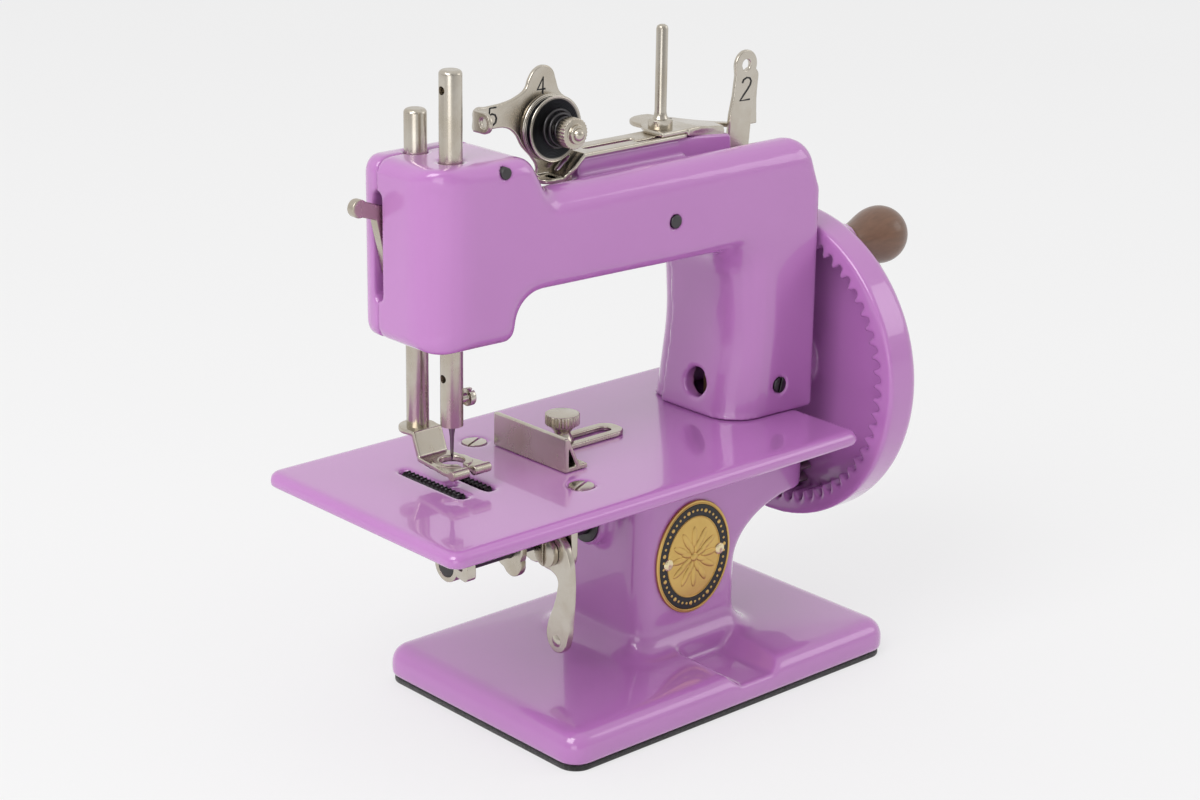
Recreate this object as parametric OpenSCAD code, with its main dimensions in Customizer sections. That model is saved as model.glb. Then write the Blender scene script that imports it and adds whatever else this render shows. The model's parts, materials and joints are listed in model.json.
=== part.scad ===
// Toy chain-stitch sewing machine: a one-piece base and bed casting, an arm cast in two halves,
// and a hand wheel whose inner teeth turn a small pinion.
// X runs from the needle towards the hand wheel, Y from front to back, Z up from the table.

/* [Base and bed] */
// Length of the base plate
base_l = 116.6; // [108:0.2:120]
// Depth of the base plate, front to back
base_w = 77.4; // [72:0.2:84]
// Thickness of the base plate above its felt
base_h = 8.8; // [8:0.1:10]
// Corner radius of the base plate, seen from above
base_corner_r = 6; // [7:0.5:12]
// Thickness of the felt under the base
felt_t = 1.6; // [1:0.1:2.5]
// Height of the bed's top above the table
bed_top = 68.4; // [66:0.2:72]
// Length of the bed
bed_l = 139; // [134:0.5:150]
// Depth of the bed, front to back
bed_w = 76; // [70:0.5:84]
// Thickness of the bed at its edge
bed_t = 4.2; // [3.6:0.1:5]
// Distance of the bed's right edge from the base's centre
bed_right = 43.7; // [42:0.1:46]
// Wall of the castings
wall = 3; // [2.4:0.1:3.4]

/* [Column] */
// Left face of the column from the base's centre
column_left = 15; // [14:0.2:18]
// Right face of the column from the base's centre
column_right = 22.6; // [21:0.2:24]
// Front face of the column from the base's centre
column_front = 15; // [14:0.2:18]
// Back face of the column from the base's centre
column_back = 18.5; // [17.5:0.1:20]
// Fillet where the column meets the base
foot_r = 7; // [5:0.5:9]
// How far the bearing arm reaches to the right of the column
flare_reach = 25.2; // [24:0.2:26]

/* [Arm] */
// Distance of the needle bar to the left of the base's centre
needle_reach = 65; // [62:0.5:68]
// Clear height between the bed and the head
throat_h = 36.4; // [32:0.2:38]
// Clear height between the bed and the underside of the arm
arch_h = 48; // [46:0.2:49]
// Height of the head's top above the bed
head_h = 82.1; // [80.5:0.1:86]
// Height of the arm's top above the bed, at its low left end
arm_h = 72.9; // [71.5:0.1:75]
// Front face of the head from the needle plane
head_front = 9.5; // [9:0.1:11]
// Front face of the pillar from the needle plane
pillar_front = 14.5; // [13.5:0.1:16]
// Plane where the two arm halves meet
split_y = 14; // [13.6:0.1:14.6]
// Back face of the arm
arm_back = 22; // [21:0.2:24]
// Right face of the pillar from the base's centre
pillar_right = 48.5; // [47.5:0.1:49]

/* [Hand wheel and gears] */
// Outer diameter of the hand wheel
wheel_d = 87.4; // [86:0.2:92]
// Width of the hand wheel
wheel_w = 11.5; // [11:0.1:13]
// Height of the wheel's axle above the bed
axle_h = 8.2; // [7.5:0.1:9]
// Distance of the axle behind the base's middle plane
axle_y = 2; // [1:0.1:3]
// Radius of the wheel's axle
axle_r = 4; // [3.4:0.1:4.4]
// Size of the gear teeth
gear_module = 1.27; // [1.2:0.01:1.3]
// Depth of the wheel's rim outside the pitch circle of its teeth
rim_w = 5.6; // [5.2:0.1:6.4]
// Teeth of the pinion
pinion_teeth = 12; // [12:1:12]
// Largest radius of the crank handle
handle_r = 8; // [6:0.1:9]
// Length of the crank handle
handle_l = 21.2; // [18:0.2:24]

/* [Needle and presser] */
// Radius of the needle bar
needle_bar_r = 2.85; // [2.4:0.05:3]
// Radius of the presser bar
presser_bar_r = 2.85; // [2.4:0.05:3]
// How far the needle bar stands above the head at rest
needle_bar_up = 22.2; // [18:0.2:26]
// How far the presser bar stands above the head at rest
presser_bar_up = 10.6; // [8:0.2:14]
// Height of the needle's tip above the bed at rest
needle_tip_h = 5.8; // [4:0.1:7]
// Height of the raised presser foot above the bed
foot_lift = 3.9; // [3:0.1:5]

/* [Thread guides] */
// Height of the spool pin above its plate
spool_pin_h = 26.8; // [22:0.2:36]
// Radius of the spool pin
spool_pin_r = 1.55; // [1.2:0.05:2]
// Thickness of the sheet-metal guides
sheet_t = 1.2; // [0.9:0.05:1.5]
// Radius of the tension discs
disc_r = 8.4; // [7:0.1:9]

/* [Seam guide] */
// Length of the fence, front to back
fence_l = 28; // [22:0.5:32]
// Height of the fence
fence_h = 9; // [7:0.2:11]
// Radius of the thumb screw's head
thumb_r = 4.6; // [4:0.1:5.4]

/* [Hidden] */

// Finish colours
orchid = [0.78, 0.52, 0.80];
nickel = [0.72, 0.69, 0.63];
steel = [0.6, 0.6, 0.6];
dark = [0.2, 0.2, 0.22];
brass = [0.78, 0.62, 0.28];
brown = [0.42, 0.31, 0.24];
black = [0.08, 0.08, 0.08];

$fn = 64;
// How far a cut runs past the faces it opens
over = 1;
// Clearances of running fits, fixed pins, loose slots, and faces that slide past each other
run_fit = 0.05;
pin_fit = 0.03;
slot_fit = 0.25;
slide_gap = 0.15;
body_gap = 0.35;
// Steps of a quarter turn on edges and fillets
edge_steps = 6;
corner_steps = 7;

// Levels of the base and bed
base_top = felt_t + base_h;
bed_under = bed_top - bed_t;
base_edge_r = 5;
base_lip = 0.8;
base_crown = 0.7;
column_r = 5;
bed_corner_r = 3.5;
bed_edge_r = 2.2;
bed_low_r = 1.2;
cast_seat = 1.5;
flare_z = 29;
flare_h = 16.5;
base_hollow_h = 3.8;
base_rim_w = 4;

// Clamp seat moulded into the front of the base
clamp_left = 0.5;
clamp_right = 13;
clamp_floor_drop = 3.4;
clamp_h = 8;
clamp_side_share = 0.95;
clamp_back_in = 2.4;

// Arm outline, from the needle's line and the bed
head_left_w = 12;
head_right_w = 13;
head_left = needle_reach + head_left_w;
head_right = needle_reach - head_right_w;
head_bottom_z = bed_top + throat_h;
arch_z = bed_top + arch_h;
arm_top_z = bed_top + arm_h;
head_top_z = bed_top + head_h;
arm_rise = 1.7;
valley_x = -42.5;
head_slope = 5;
head_lean = 1.5;
arch_lean = 1.8;
waist_x = 22.3;
waist_h = 22.6;
heel_x = 18.8;
shoulder_x = 44.5;
shoulder_drop = 13;
// Corner radii of the arm's outline
head_low_r = 3.5;
head_in_r = 3;
arch_r_share = 0.75;
arch_left_r = arch_r_share * (arch_h - throat_h);
arch_right_r = 9;
waist_r = 60;
shoulder_r = 6;
valley_r = 6;
head_crest_r = 5;
head_top_r = 4;
// Rounding of the arm's edges: ordinary, top, head end, pillar's left, right and foot, shoulder
arm_edge = 4;
top_edge = 7;
head_edge = 11;
pillar_edge = 11;
right_edge = 1.5;
heel_edge = 0.5;
shoulder_edge = 3;
rear_edge = 4;
rear_head_edge = 5.5;
// Fall of the arm's top from its front crest to the plane where the halves meet
top_fall = 9;
shoulder_fall = 4;
flat_corner_share = 0.15;
// The arm's front face leans forward from the head to the pillar
pillar_mid_x = 35;
lean_share = (pillar_front - head_front) / (needle_reach + pillar_mid_x);
// Walls round the arm's hollow
arm_cavity_y = -6.8;
arm_step_y = -3.2;
pillar_cavity_y = -10.8;
rear_wall = 3;
head_end_wall = 7;
head_roof = 4;
pillar_wall = 4;
// Step from the pillar's left face to its rear cover
pillar_set = 2.2;
pillar_back_edge = 6.6;
arch_wall = 3.2;
arm_roof = 4.2;
low_roof = 2.8;
shoulder_wall = 8;
pocket_x0 = 25;
pocket_x1 = 43.6;
pocket_y1 = 8;
pocket_low = 120;
pocket_high = 135;
// Raised rail under the thread strip
rail_x0 = -25;
rail_x1 = 12;
rail_y0 = -0.5;
rail_y1 = 8;
rail_low = 133.5;

// Bars, levers and screws in the arm
needle_x = -needle_reach;
needle_y = 0.4;
presser_y = split_y;
pivot_x = -2.2;
pivot_h = 59.4;
pivot_z = bed_top + pivot_h;
pivot_r = 1.75;
head_pin_in = 8.8;
head_pin_x = head_pin_in - needle_reach;
head_pin_drop = 2.5;
head_pin_r = 1.3;
pin_seat_y = arm_back - rear_wall;

// Needle lever and its travel
lever_t = 2.4;
lever_y0 = -6.2;
lever_y1 = lever_y0 + lever_t;
lever_half = 2.4;
lever_hub_r = 4.6;
stud_up = 4.7;
stud_z = pivot_z + stud_up;
stud_r = 1.25;
stud_tip = 0.2;
fork_half_l = 3.6;
fork_rim = 1.6;
pitman_x = 28.5;
pitman_pin_drop = 2.4;
pitman_pin_z = pivot_z - pitman_pin_drop;
lever_tail_x = 39.2;
lever_tail_drop = 5.8;
needle_drop = 13;
needle_rise = 5;
lever_reach = pivot_x - needle_x;
tail_reach = pitman_x - pivot_x;
pitman_rise = needle_drop * tail_reach / lever_reach;
pitman_drop = needle_rise * tail_reach / lever_reach;

// Hand wheel, axle and gears
axle_z = bed_top + axle_h;
wheel_r = wheel_d / 2;
wheel_gap = 1.5;
wheel_x0 = pillar_right + wheel_gap;
wheel_x1 = wheel_x0 + wheel_w;
wheel_edge_r = 3.6;
wheel_lip_r = 0.8;
web_t = 3;
web_x0 = wheel_x1 - web_t;
hub_r = 9;
washer_t = 0.8;
washer_r = 7;
hub_x0 = pillar_right + washer_t + slide_gap;
axle_left = 31;
axle_boss_r = 8;
axle_boss_x = 32.4;
window_r = 4;
nut_t = 3;
nut_r = 6.4;
// As many teeth inside the wheel as the rim leaves room for
wheel_teeth = round((wheel_d - 2 * rim_w) / gear_module);
pitch_r = gear_module * wheel_teeth / 2;
pinion_pitch_r = gear_module * pinion_teeth / 2;
addendum_share = 0.88;
dedendum_share = 1.2;
tooth_share = 0.44;
pressure_angle = 20;
gear_clear = 0.6;
shaft_z = axle_z - pitch_r + pinion_pitch_r;
shaft_r = 3;
pinion_x0 = wheel_x0 + gear_clear;
pinion_x1 = web_x0 - gear_clear;

// Crank handle on the wheel
handle_inset = 6.7;
handle_reach = wheel_r - handle_inset;
handle_angle = 111.3;
handle_y = axle_y + handle_reach * cos(handle_angle);
handle_z = axle_z + handle_reach * sin(handle_angle);
handle_pin_r = 1.6;
handle_boss_r = 5.4;
handle_boss_t = 1;
handle_neck_r = 4.6;
handle_x0 = wheel_x1 + handle_boss_t + body_gap;
handle_bore_end = 4;

// Bearing arm of the pinion shaft
shaft_boss_r = 6.5;
shaft_boss_x = 37.8;
bush_wall = 1.2;
bush_flange = 0.8;
flare_end_x = column_right + flare_reach;
flare_open_drop = 10.12;
flare_open_z = shaft_z - flare_open_drop;

// Crank and pitman
pitman_t = 3;
pitman_half = 4;
pitman_x0 = pitman_x - pitman_t / 2;
pitman_x1 = pitman_x + pitman_t / 2;
pitman_top_r = 3;
crank_t = 3.4;
crank_pin_l = 3;
crank_pin_r = 1.5;
crank_x0 = pitman_x1 + body_gap + crank_pin_l;
crank_r = (pitman_rise + pitman_drop) / 2;
crank_rim = 1.5;
crank_disc_r = crank_r + crank_pin_r + crank_rim;
pin_rest_drop = (pitman_rise - pitman_drop) / 2;
pin_rest_y = axle_y + sqrt(crank_r * crank_r - pin_rest_drop * pin_rest_drop);
pin_rest_z = shaft_z - pin_rest_drop;
yoke_rim = 2.4;
yoke_h = 10;
pitman_gap = 1.5;

// Looper shaft, rocked by a pin on the pitman
looper_z = shaft_z;
looper_shaft_r = 3;
rocker_reach = 10;
rocker_pin_r = 1.25;
rocker_t = 3.2;
rocker_gap = 0.8;
rocker_x1 = pitman_x0 - rocker_gap;
rocker_x0 = rocker_x1 - rocker_t;
rocker_slot = 0.6;
rocker_half = 3.8;
rocker_hub_r = 5;
lug_x = -19;
lug_r = 6.5;
looper_lead = 1;
looper_x0 = needle_x - looper_lead;
looper_t = 3;
looper_hub_r = 4.4;
hook_r = 8.6;
hook_w = 2.4;
hook_tip_share = 0.15;
hook_start = 118;
hook_end = 188;
hook_steps = 10;
cam_x = -46;
cam_t = 2;
cam_r = 6;
cam_drop = 4;
cam_tip_r = 3.6;

// Feed dog, its screws, and the bracket under the bed
feed_row_w = 2.4;
feed_slot_w = 3.2;
feed_left = 3.5;
feed_right = 5;
feed_xs = [needle_x - feed_left, needle_x + feed_right];
feed_y0 = -7.9;
feed_l = 22.8;
feed_slot_gap = 1.4;
feed_bar_t = 2.4;
feed_top_up = 0.35;
feed_tooth_depth = 0.8;
feed_teeth = 14;
feed_neck_y0 = -4;
feed_neck_y1 = 11;
feed_bar_z1 = bed_under - body_gap;
feed_bar_z0 = feed_bar_z1 - feed_bar_t;
feed_end_x = -50;
feed_screw_x = -54;
feed_screw_r = 1.5;
feed_screw_in = 2.4;
feed_head_r = 2.8;
feed_head_t = 1;
feed_screw_gap = 8;
bracket_t = 2;
bracket_z0 = bed_under - bracket_t;
bracket_half = 24.4;
cheek_t = 2.2;
cheek_x = -37;
cheek_r = 6.5;
finger_y = -7.2;
finger_z = 45.9;
finger_r = 5.5;
finger_bore = 2.6;
finger_stud_r = 1.8;
finger_t = 2;
finger_head_r = 3.8;
finger_head_t = 1.6;
finger_tip_z = 22.7;
finger_tip_y = -11;
finger_tip_r = 3.8;
finger_waist_r = 2.6;
finger_knee_y = -11.2;
finger_knee_z = 33.5;
finger_gap = 0.5;

// Bed screws, seam guide and needle hole
bed_screw_x = -41;
bed_screw_y = 21;
bed_screw_r = 1.8;
bed_head_r = 3.2;
bed_head_t = 1.8;
slot_w = 0.7;
slot_d = 0.8;
slot_turn = 25;
needle_hole_r = 1.5;
fence_x = -39;
fence_y = 1.4;
guide_y = 4;
guide_x1 = -6;
guide_half = 4.4;
guide_r = 3.8;
guide_slot_half = 1.9;
guide_slot_x0 = -33;
guide_slot_end = 3;
thumb_x = -25.5;
thumb_shank_r = 1.6;
thumb_neck_r = 2.1;
thumb_flare = 1;
thumb_h = 7.4;
thumb_head_t = 2.9;
thumb_flute = 0.35;
thumb_flutes = 30;
fold_l = 5.5;
tab_l = 7.5;
tab_w = 4;

// Presser bar, spring and lifter
collar_r = 4.6;
collar_h = 4;
lifter_back = 7;
lifter_x = needle_x - lifter_back;
lifter_h = 54.6;
lifter_z = bed_top + lifter_h;
lifter_lobe = 7;
lifter_lobe_half = 1.2;
lifter_disc_r = 3.2;
lifter_t = 2.4;
lifter_pin_r = 1.1;
lifter_pin_l = 3.2;
lifter_slot_w = 3.2;
lifter_slot_down = 8;
lifter_slot_up = 19;
lifter_slot_low = lifter_z - lifter_slot_down;
lifter_slot_high = lifter_z + lifter_slot_up;
lifter_arm_half = 1.9;
lifter_tip_half = 2.3;
lifter_bend_out = 4.6;
lifter_bend_up = 14;
lifter_tip_out = 8;
lifter_tip_up = 16;
collar_z0 = lifter_z + lifter_lobe + body_gap;
collar_z1 = collar_z0 + collar_h;
tab_half = 1.1;
tab_left = 0.2;
spring_r = 3.8;
spring_wire = 0.45;
spring_turns = 5;
spring_rings = 8;
spring_sides = 6;
presser_foot_w = 12.6;
presser_foot_t = 1.3;
foot_front = 5;
foot_heel = 5;
foot_ring_r = 3.2;
foot_slit = 1.6;
foot_step_h = 6.4;
foot_collar_r = 4.9;
foot_collar_h = 2.2;
foot_toe_r = 1.5;
foot_shank_w = 8.4;
bar_tip_r = 1.1;

// Needle and its clamp
needle_r = 0.85;
needle_tip_r = 0.2;
needle_bar_drop = 21;
needle_bar_low = head_bottom_z - needle_bar_drop;
needle_seat = 8;
needle_point = 3.4;
eye_r = 1.05;
eye_drop = 4.8;
low_eye_up = 12.5;
low_eye_z = needle_bar_low + low_eye_up;
clamp_up = 6.3;
clamp_z = needle_bar_low + clamp_up;
clamp_screw_r = 1.1;
clamp_head_r = 2.3;
clamp_head_t = 1.6;
clamp_neck_l = 1.6;
drive_collar_r = 3.9;
drive_collar_half = 4;

// Thread guides on top of the arm
strip_h = 77;
strip_z = bed_top + strip_h;
plate_z = strip_z + sheet_t;
spool_x = 7.6;
spool_y = 4.6;
spool_base_r = 3.2;
spool_base_h = 2.2;
spool_shank_r = 1.5;
spool_shank_l = 6;
strip_x0 = -34;
strip_x1 = 30.6;
strip_y0 = -1.5;
strip_y1 = 8.4;
strip_r = 2.6;
strip_slot_w = 2.4;
strip_slot_l = 16;
strip_slot_x = -12;
pear_x = 15;
pear_y = 13;
pear_r = 9;
pear_tail_x = 43;
pear_tail_y0 = 9.2;
pear_tail_w = 3.4;
pear_nose_r = 4;
pear_join_share = 0.62;
neck_share = 0.96;
leaf_w = 5;
leaf_h = 13;
leaf_lap = 1;
thread_lever_y = 5.4;
thread_lever_w = 7.2;
thread_lever_x = 37.2;
thread_lever_lean = 2.4;
thread_top_h = 95.6;
thread_lever_top = bed_top + thread_top_h;
thread_foot_drop = 8;
thread_tab_h = 5;
thread_eye_r = 1.2;
thread_top_r = 3.7;
thread_slot_x0 = 26;
thread_slot_x1 = 44;
thread_slot_gap = 1;
tension_x = -30.4;
tension_h = 84.8;
tension_z = bed_top + tension_h;
tension_y0 = 5.2;
tension_y1 = tension_y0 + sheet_t;
tension_round_r = 6.4;
lobe_r = 3.6;
four_lean = -1.6;
four_h = 10.2;
five_l = 17;
five_rise = 3.8;
five_w = 5.6;
five_eye_r = 3;
leg_w = 5.6;
tension_stud_r = 1.5;
tension_tail = 2.4;
tension_stud_l = 11.6;
stud_nut_r = 3;
disc_t = 0.8;
disc_gap = 0.4;
disc_dish = 0.6;
disc_flat_share = 0.6;
coil_turns = 4;
coil_wire = 0.4;
coil_big_r = 5.2;
coil_small_r = 2.8;
coil_l = 4.6;
nut_knurl_r = 4;
nut_knurl_t = 3;
nut_nose_r = 2.4;
nut_nose_l = 1.2;
nut_flutes = 28;
nut_flute = 0.3;

// Medallion on the column
medal_x = 4.1;
medal_z = 35.7;
medal_w = 26.8;
medal_h = 31.5;
medal_t = 0.8;
rivet_reach = 9.4;
rivet_r = 0.8;
rivet_head_r = 1.7;
rivet_l = 2.4;
rivet_head_t = 0.6;

// Screws between bed and pillar
pillar_screw_r = 1.6;
pillar_screw_boss = 3.6;
pillar_screw_in = 7;
pillar_screw_x = pillar_right - pillar_screw_in;
pillar_screw_out = 1.6;
pillar_screw_ys = [axle_y - axle_boss_r - pillar_screw_out, axle_y + axle_boss_r];
pillar_screw_up = 9;
pillar_screw_head_r = 3;
pillar_screw_head_t = 2;
set_screw_x = 36;
set_screw_r = 1.7;
set_head_r = 2.2;
set_head_t = 1.2;

// Bars along an axis
module x_rod(r, x0, x1, y, z) { translate([x0, y, z]) rotate([0, 90, 0]) cylinder(r = r, h = x1 - x0); }
module y_rod(r, y0, y1, x, z) { translate([x, y1, z]) rotate([90, 0, 0]) cylinder(r = r, h = y1 - y0); }
module z_rod(r, z0, z1, x, y) { translate([x, y, z0]) cylinder(r = r, h = z1 - z0); }
// Flat plates: the outline is drawn in the two other axes
module x_plate(x0, x1) { translate([x0, 0, 0]) rotate([90, 0, 90]) linear_extrude(x1 - x0) children(); }
module y_plate(y0, y1) { translate([0, y1, 0]) rotate([90, 0, 0]) linear_extrude(y1 - y0) children(); }
module z_plate(z0, z1) { translate([0, 0, z0]) linear_extrude(z1 - z0) children(); }
// Turned pieces: the profile is drawn as radius and length
module x_turned(x0, y, z) { translate([x0, y, z]) rotate([0, 90, 0]) rotate_extrude() children(); }
module y_turned(x, y1, z) { translate([x, y1, z]) rotate([90, 0, 0]) rotate_extrude() children(); }
module box(low, high) { translate(low) cube(high - low); }
module bar(a, b, r) {
  u = unit(b - a) * r;
  side = [-u.y, u.x];
  polygon([a - side, b - side, b + side, a + side]);
  translate(a) circle(r);
  translate(b) circle(r);
}
// Strip with one round end, its sides a little inside the round
module neck(a, b, r) {
  u = unit(b - a) * r * neck_share;
  side = [-u.y, u.x];
  polygon([a - side, b - side, b + side, a + side]);
  translate(a) circle(r);
}
// Outline of a rectangle with round corners
module rounded(x0, x1, y0, y1, r) {
  translate([x0 + r, y0]) square([x1 - x0 - 2 * r, y1 - y0]);
  translate([x0, y0 + r]) square([x1 - x0, y1 - y0 - 2 * r]);
  for (x = [x0 + r, x1 - r], y = [y0 + r, y1 - r]) translate([x, y]) circle(r);
}
// Round head with shallow flutes
module fluted(r, flutes, depth) {
  polygon([for (i = [0 : 2 * flutes - 1])
    (r - (i % 2) * depth) * [cos(i * 180 / flutes), sin(i * 180 / flutes)]]);
}

function unit(v) = v / norm(v);
// Points of one level of a loft: a rectangle [x0, x1, y0, y1, r] with round corners
function level(b, z) = [for (q = [0 : 3]) for (i = [0 : corner_steps])
  let(a = 90 * (q + i / corner_steps),
      cx = (q == 0 || q == 3) ? b[1] - b[4] : b[0] + b[4],
      cy = q < 2 ? b[3] - b[4] : b[2] + b[4])
  [cx + b[4] * cos(a), cy + b[4] * sin(a), z]];
function grown(b, d) = [b[0] - d, b[1] + d, b[2] - d, b[3] + d, b[4] + d];
// Closed skin over levels that have the same number of points
module skin(levels) {
  n = len(levels[0]);
  m = len(levels);
  points = [for (l = levels) each l];
  sides = [for (k = [0 : m - 2]) for (i = [0 : n - 1])
    let(j = (i + 1) % n, a = k * n + i, b = a + n, c = k * n + n + j, d = k * n + j)
    each [[a, b, c], [a, c, d]]];
  polyhedron(concat(points), concat(sides,
    [[for (i = [0 : n - 1]) i], [for (i = [n - 1 : -1 : 0]) (m - 1) * n + i]]), 4);
}

// Round one corner b between a and c
function corner_arc(a, b, c, r) =
  let(u = unit(a - b), v = unit(c - b), half = acos(max(-1, min(1, u * v))) / 2,
      mid = b + unit(u + v) * r / sin(half),
      p = b + u * r / tan(half) - mid, q = b + v * r / tan(half) - mid,
      from = atan2(p.y, p.x), turn = ((atan2(q.y, q.x) - from + 540) % 360) - 180)
  [for (i = [0 : corner_steps])
    mid + r * [cos(from + turn * i / corner_steps), sin(from + turn * i / corner_steps)]];
// Shift of a corner that moves its two edges in by d0 and d1
function corner_shift(a, b, c, d0, d1) =
  let(e0 = unit(b - a), e1 = unit(c - b), n0 = [-e0.y, e0.x], n1 = [-e1.y, e1.x],
      k = n0 * n1, s = 1 - k * k)
  s < flat_corner_share ? n0 * (d0 + d1) / 2 : n0 * (d0 - k * d1) / s + n1 * (d1 - k * d0) / s;
function xy(p) = [p.x, p.y];
// Outline points of rounded corners [x, z, r], moved in by a share of each edge's inset
function inset_outline(corners, insets, share) =
  let(n = len(corners))
  [for (k = [0 : n - 1])
    let(a = xy(corners[(k + n - 1) % n]), b = xy(corners[k]), c = xy(corners[(k + 1) % n]),
        shift = corner_shift(a, b, c, insets[(k + n - 1) % n], insets[k]) * share)
    for (p = corner_arc(a, b, c, corners[k].z)) p + shift];
// Depth of the edge rounding at each outline point
function edge_depths(corners, insets) =
  let(n = len(corners))
  [for (k = [0 : n - 1]) for (i = [0 : corner_steps])
    let(t = i / corner_steps) insets[(k + n - 1) % n] * (1 - t) + insets[k] * t];

// Front outline of the arm, anticlockwise from the head's lower left corner: [x, z, corner radius]
arm_corners = [
  [-head_left, head_bottom_z, head_low_r],
  [-head_right, head_bottom_z, head_in_r],
  [-head_right + head_lean, arch_z, arch_left_r],
  [waist_x - arch_lean, arch_z, arch_right_r],
  [waist_x, bed_top + waist_h, waist_r],
  [heel_x, bed_top, heel_edge],
  [pillar_right, bed_top, heel_edge],
  [pillar_right, arm_top_z + arm_rise - shoulder_drop, shoulder_r],
  [shoulder_x, arm_top_z + arm_rise, shoulder_r],
  [valley_x, arm_top_z, valley_r],
  [valley_x - head_slope, head_top_z, head_crest_r],
  [-head_left, head_top_z, head_top_r]];
front_insets = [arm_edge, arm_edge, arm_edge, pillar_edge, pillar_edge, heel_edge, right_edge,
  shoulder_edge, top_edge, arm_edge, arm_edge, head_edge];
split_insets = [0, 0, 0, 0, 0, 0, 0, shoulder_fall, top_fall, 0, 0, 0];
rear_insets = [rear_edge, rear_edge, rear_edge, pillar_back_edge, pillar_back_edge, heel_edge, right_edge,
  rear_edge, rear_edge, rear_edge, rear_edge, rear_head_edge];
// The cover's left side is set in behind the pillar
cover_sets = [0, 0, 0, pillar_set, pillar_set, 0, 0, 0, 0, 0, 0, 0];
cover_insets = split_insets + cover_sets;
// The hollow's outline is lower behind the lever, where the arm's top falls away
lever_hollow = [wall, arch_wall, arch_wall, pillar_wall, pillar_wall, 0, wall, shoulder_wall, arm_roof,
  wall, head_roof, head_end_wall];
rear_hollow = [wall, arch_wall, arch_wall, pillar_wall, pillar_wall, 0, wall, shoulder_wall + shoulder_fall,
  top_fall + low_roof, wall, head_roof, head_end_wall];
cover_hollow = rear_hollow + cover_sets * 2;
function face_y(x) = -head_front - (x - needle_x) * lean_share;

// First or last outline point of a corner
function mark(corner, last) = corner * (corner_steps + 1) + (last ? corner_steps : 0);
function turned(faces) = [for (f = faces) [f[2], f[1], f[0]]];
function fan(loop, middle) = [for (i = [0 : len(loop) - 1]) [loop[i], loop[(i + 1) % len(loop)], middle]];
// Closed skin over arm outlines, each end filled as head, beam and pillar
module arm_skin(levels, backward) {
  n = len(levels[0]);
  m = len(levels);
  a = mark(2, true);
  b = mark(3, false);
  c = mark(8, true);
  d = mark(9, false);
  middles = [for (l = [levels[0], levels[m - 1]])
    each [(l[0] + l[n - 1] + l[a] + l[d]) / 4, (l[mark(3, true)] + l[b] + 2 * l[mark(7, false)]) / 4]];
  ends = [for (e = [0, 1]) let(o = e * (m - 1) * n, k = m * n + 2 * e)
    concat(fan([for (i = [d : n + a]) o + i % n], k), [[o + a, o + b, o + c], [o + a, o + c, o + d]],
      fan([for (i = [b : c]) o + i], k + 1))];
  sides = [for (k = [0 : m - 2]) for (i = [0 : n - 1])
    let(j = (i + 1) % n, p = k * n + i, q = p + n, r = k * n + n + j, t = k * n + j)
    each [[p, q, r], [p, r, t]]];
  faces = concat(sides, ends[0], turned(ends[1]));
  polyhedron(concat([for (l = levels) each l], middles), backward ? turned(faces) : faces);
}
module arm_front_shape() {
  depths = edge_depths(arm_corners, front_insets);
  seam = inset_outline(arm_corners, split_insets, 1);
  rings = [for (s = [0 : edge_steps])
    let(a = 90 * s / edge_steps, line = inset_outline(arm_corners, front_insets, 1 - cos(a)))
    [for (i = [0 : len(line) - 1])
      [line[i].x, face_y(line[i].x) + depths[i] * (1 - sin(a)), line[i].y]]];
  arm_skin(concat([[for (p = seam) [p.x, split_y, p.y]]], rings), false);
}
module arm_rear_shape() {
  depths = edge_depths(arm_corners, rear_insets);
  seam = inset_outline(arm_corners, cover_insets, 1);
  rings = [for (s = [0 : edge_steps])
    let(a = 90 * s / edge_steps,
        line = inset_outline(arm_corners, cover_insets + rear_insets * (1 - cos(a)), 1))
    [for (i = [0 : len(line) - 1]) [line[i].x, arm_back - depths[i] * (1 - sin(a)), line[i].y]]];
  arm_skin(concat([[for (p = seam) [p.x, split_y, p.y]]], rings), true);
}
module arm_hollow(y0, y1, insets) { y_plate(y0, y1) polygon(inset_outline(arm_corners, insets, 1)); }

// Cuts that both arm halves share, with each hole at its own clearance
module arm_cuts() {
  z_rod(needle_bar_r + run_fit, head_bottom_z - over, head_top_z + over, needle_x, needle_y);
  z_rod(presser_bar_r + run_fit, head_bottom_z - over, head_top_z + over, needle_x, presser_y);
  box([-head_left - over, presser_y - lifter_slot_w / 2, lifter_slot_low],
    [needle_x, presser_y + lifter_slot_w / 2, lifter_slot_high]);
  y_rod(lifter_pin_r + pin_fit, presser_y - lifter_slot_w / 2 - lifter_pin_l,
    presser_y + lifter_slot_w / 2 + lifter_pin_l, lifter_x, lifter_z);
  y_rod(pivot_r + pin_fit, face_y(pivot_x) - over, pin_seat_y, pivot_x, pivot_z);
  y_rod(head_pin_r + pin_fit, face_y(head_pin_x) - over, pin_seat_y, head_pin_x, head_top_z - head_pin_drop);
}

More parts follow.
